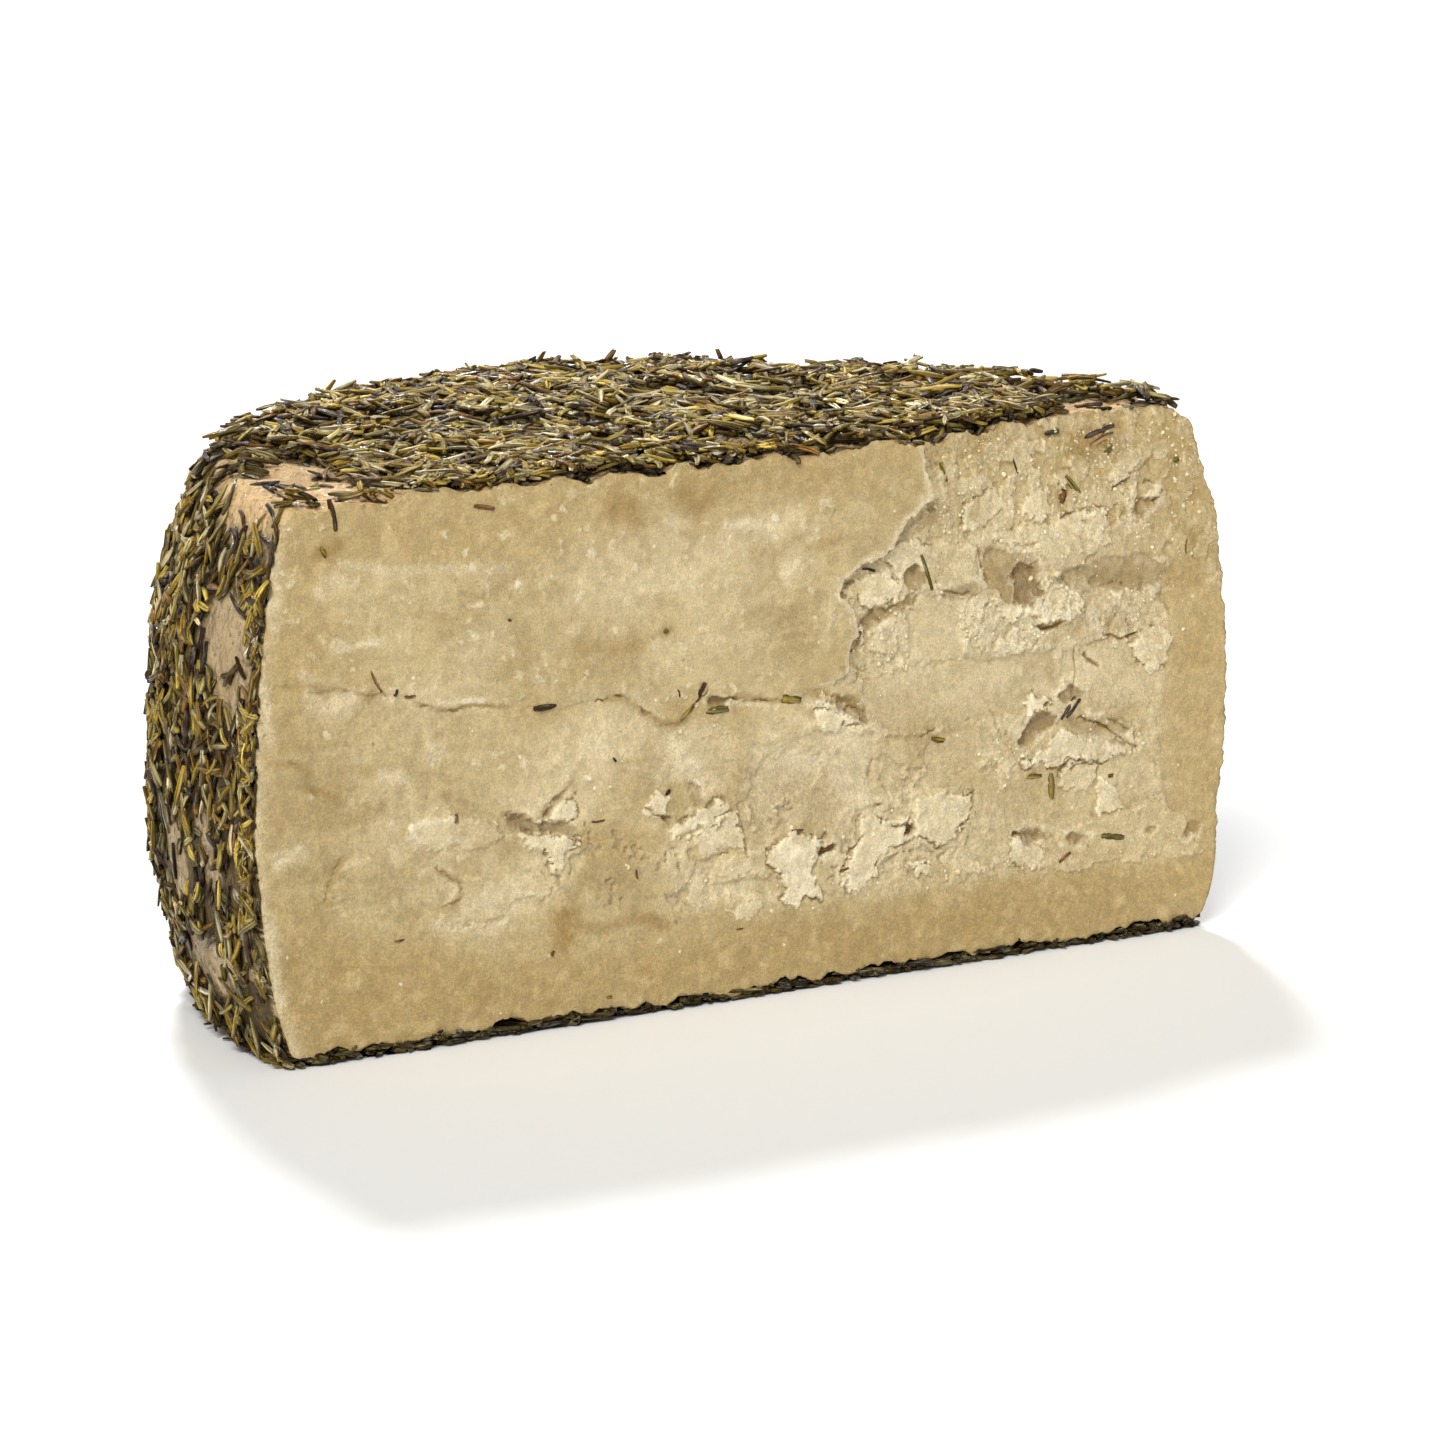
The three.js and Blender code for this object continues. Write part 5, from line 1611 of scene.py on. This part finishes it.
def paste_material():
    """Dry pale paste: cloudy and streaky, white where it broke, brown where smeared, with painted
    shade where sunk and painted highlight where proud.
    """
    n = Nodes("paste")
    at = n.place()
    tone = n.carried("tone")
    parts = n.add("ShaderNodeSeparateColor")
    n.join(tone["Color"], parts.inputs[0])
    white, painted_light_and_shade, golden = parts.outputs
    colour = n.blend(n.spread(n.noise(at, 48, 5, 0.55), 0.34, 0.66), PASTE_PALE, PASTE_DEEP)
    streaks = n.noise(n.stretched(at, (0.16, 1.0, 1.0)), 260, 4, 0.6)
    colour = n.layer(colour, n.spread(streaks, 0.5, 0.75), 0.45, PASTE_STREAK)
    cloudy = n.spread(n.noise(at, 150, 6, 0.62), 0.52, 0.63)
    colour = n.layer(colour, cloudy, 0.42, PASTE_CLOUD)
    dull = n.spread(n.noise(at, 105, 6, 0.6), 0.54, 0.68)
    colour = n.layer(colour, dull, 0.5, PASTE_DULL)
    curdled = n.spread(n.noise(at, 210, 5, 0.62), 0.36, 0.6, 0.25, 0.85)
    colour = n.layer(colour, n.carried("cream")["Fac"], curdled, PASTE_CREAM)
    colour = n.layer(colour, golden, 0.9, PASTE_GOLDEN)
    patchy = n.times(n.spread(n.noise(at, 290, 4, 0.62), 0.5, 0.66), golden)
    colour = n.layer(colour, patchy, 0.5, PASTE_PATCH)
    pale = broken_white(n, at, white)
    colour = n.blend(pale, colour, BROKEN_WHITE)
    # Grey of glassy hollow floors, and painted shade in the grooves round flakes.
    colour = n.blend(tone["Alpha"], colour, GLASSY_GREY_AND_SHADE)
    # Painted shade where the cut is sunk, and painted highlight where it stands proud.
    colour = n.layer(colour, n.spread(painted_light_and_shade, 0.55, 1.0), 0.6, PAINTED_SHADE_BROWN)
    colour = n.layer(colour, n.spread(painted_light_and_shade, 0.45, 0.1), 0.5, PAINTED_HIGHLIGHT_PALE)
    colour = n.layer(colour, n.carried("smear")["Fac"], 0.75, SMEAR_BROWN)
    colour = fine_marks(n, at, colour)
    rough = n.spread(n.noise(at, 240, 2), 0.3, 0.7, 0.4, 0.58)
    low = n.bump(n.noise(at, 380, 4, 0.6), 0.45, 0.0006)
    chipped = n.bump(pale, 0.5, 0.0003, low)
    fine = n.bump(n.noise(at, 1300, 4, 0.65), 0.5, 0.00025, chipped)
    n.put(Base_Color=colour, Roughness=rough, Normal=fine)
    n.fix({"Subsurface Weight": 0.25, "Subsurface Radius": (1.0, 0.65, 0.3),
           "Subsurface Scale": 0.0008, "Specular IOR Level": 0.4})
    return n.material


def under_needles(n, at, on_top, along):
    """Where needles and their litter cover the rind, from 0 to about 0.8."""
    on_side = n.spread(n.carried("bare")["Fac"], 0.6, 0.1, 0.0, 0.8)
    middle = n.times(n.spread(along, -0.078, -0.062), n.spread(along, 0.07, 0.05))
    above = n.times(middle, n.spread(n.noise(at, 130, 3), 0.4, 0.56, 0.1, 0.8))
    covered = n.add("ShaderNodeMix", data_type="FLOAT")
    n.join(on_top, covered.inputs["Factor"])
    n.join(on_side, covered.inputs["A"])
    n.join(above, covered.inputs["B"])
    return covered.outputs["Result"]


def rind_material():
    """Pinkish-beige oiled rind, bare in patches, and under the needles dark with their litter and
    with painted shade.
    """
    n = Nodes("rind")
    at = n.place()
    split = n.add("ShaderNodeSeparateXYZ")
    n.join(at, split.inputs["Vector"])
    on_top = n.spread(split.outputs["Z"], 0.081, 0.089)
    covered = under_needles(n, at, on_top, split.outputs["X"])
    litter = n.noise(n.stretched(at, (1.0, 1.0, 0.4)), 1000, 3, 0.6)
    colour = n.blend(n.spread(n.noise(at, 70, 4), 0.3, 0.7), RIND_PALE, RIND_DEEP)
    colour = n.layer(colour, on_top, 0.8, RIND_TOP)
    stains = n.spread(n.noise(at, 160, 5, 0.6), 0.5, 0.66)
    colour = n.layer(colour, stains, 0.45, RIND_STAIN)
    # Under the needles the rind goes dark: partly their litter, partly painted shade between the
    # needles.
    colour = n.blend(covered, colour, LITTER_AND_SHADE_DARK)
    shreds = n.times(n.spread(litter, 0.5, 0.58), covered)
    colour = n.layer(colour, shreds, 0.95, LITTER_OLIVE)
    bits = n.spread(n.noise(at, 620, 3, 0.6), 0.62, 0.68)
    colour = n.layer(colour, bits, 0.7, RIND_BIT)
    low = n.bump(n.noise(at, 220, 4), 1.0, 0.003)
    uneven = n.bump(n.noise(at, 700, 3), 0.8, 0.001, low)
    shredded = n.bump(n.times(litter, covered), 1.0, 0.002, uneven)
    glossy = n.bump(n.noise(at, 900, 2), 1.0, 0.0016, low)
    oiled = n.spread(n.noise(at, 240, 2), 0.42, 0.54, 0.0, 0.9)
    n.put(Base_Color=colour, Roughness=n.spread(n.noise(at, 200, 2), 0.3, 0.7, 0.6, 0.8),
          Normal=shredded, Coat_Normal=glossy,
          Coat_Weight=n.times(oiled, n.spread(covered, 0.5, 0.1)))
    n.fix({"Specular IOR Level": 0.15, "Coat Roughness": 0.09, "Subsurface Weight": 0.1,
           "Subsurface Radius": (1.0, 0.7, 0.4), "Subsurface Scale": 0.001})
    return n.material


def rosemary_material():
    """Dried needles in their own colours, streaked along their length, oiled in places."""
    n = Nodes("rosemary")
    streak = n.noise(n.stretched(n.carried("strand")["Vector"], (9.0, 1.4, 1.0)), 1.0, 4, 0.6)
    colour = n.layer(n.carried("tint")["Color"], n.spread(streak, 0.56, 0.36), 0.72, STREAK_DARK)
    colour = n.layer(colour, n.spread(streak, 0.54, 0.76), 0.62, STREAK_PALE)
    at = n.place()
    wrinkle = n.bump(streak, 0.7, 0.0004)
    n.put(Base_Color=colour, Roughness=n.spread(n.noise(at, 900, 2), 0.35, 0.65, 0.28, 0.6),
          Normal=n.bump(n.noise(at, 2200, 2), 0.4, 0.00012, wrinkle),
          Coat_Normal=n.bump(n.noise(at, 2600, 3, 0.7), 0.9, 0.0005, wrinkle),
          Coat_Weight=n.spread(n.noise(at, 500, 2), 0.5, 0.62, 0.0, 0.8))
    n.fix({"Specular IOR Level": 0.14, "Coat Roughness": 0.12})
    return n.material


def floor_material():
    """The plain pale floor."""
    n = Nodes("pale floor")
    n.fix({"Base Color": (0.86, 0.86, 0.85, 1), "Roughness": 0.7})
    return n.material


# The studio: how far the camera sees and the floor reaches, in metres, and the lights' power.
FARTHEST_SEEN = 20
FLOOR_REACH = 4
KEY_LIGHT = 2.92
BACK_LIGHT = 2.25
WALL_LIGHT = 0.36


def make_camera():
    """The photograph's camera, aimed at CAMERA_TARGET."""
    azimuth, elevation = radians(CAMERA_AZIMUTH), radians(CAMERA_ELEVATION)
    back = Vector((sin(azimuth) * cos(elevation), -cos(azimuth) * cos(elevation), sin(elevation)))
    across = Vector((0, 0, 1)).cross(back).normalized()
    up = back.cross(across)
    roll = Matrix.Rotation(radians(CAMERA_ROLL), 3, back)
    across, up = roll @ across, roll @ up
    data = bpy.data.cameras.new("camera")
    data.lens = LENS_MM
    data.sensor_width = SENSOR_MM
    data.clip_end = FARTHEST_SEEN
    camera = put_in_scene("camera", data)
    turn = Matrix((across, up, back)).transposed().to_4x4()
    place = (Vector(CAMERA_TARGET) + back * CAMERA_DISTANCE) * MM
    camera.matrix_world = Matrix.Translation(place) @ turn
    bpy.context.scene.camera = camera


def sun_light(name, towards, power, softness, colour=(1, 1, 1)):
    """An even light from the direction of towards, as soft as a panel softness degrees across."""
    data = bpy.data.lights.new(name, "SUN")
    data.energy = power
    data.angle = radians(softness)
    data.color = colour
    light = put_in_scene(name, data)
    light.matrix_world = Vector(towards).to_track_quat("Z", "Y").to_matrix().to_4x4()


def make_studio():
    """The floor, a warm light from the left in front, a paler one from behind, and white walls."""
    bm = bmesh.new()
    bmesh.ops.create_grid(bm, x_segments=1, y_segments=1, size=FLOOR_REACH)
    mesh = bpy.data.meshes.new("floor")
    bm.to_mesh(mesh)
    bm.free()
    mesh.materials.append(floor_material())
    floor = put_in_scene("floor", mesh)
    sun_light("key", (-0.75, -0.6, 0.85), KEY_LIGHT, 26, (1, 0.985, 0.955))
    sun_light("back light", (0.35, 0.75, 0.7), BACK_LIGHT, 8)
    world = bpy.data.worlds.new("world")
    world.use_nodes = True
    background = world.node_tree.nodes["Background"]
    background.inputs["Color"].default_value = (1, 1, 1, 1)
    background.inputs["Strength"].default_value = WALL_LIGHT
    bpy.context.scene.world = world
    bpy.context.scene.view_settings.view_transform = "Standard"


def main():
    """Makes the camera, the studio and every piece, and says what each piece rides on."""
    make_camera()
    make_studio()
    paste, rosemary = paste_material(), rosemary_material()
    cheese = [make_cheese(paste, rind_material()), crumbs(paste)]
    needles = [*top_needles(rosemary), *side_needles(rosemary), *mat_needles(rosemary)]
    needles.append(bedded_needles(rosemary))
    for piece in (*cheese, *needles):
        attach(piece, BODY)
        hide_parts(NODE)


main()
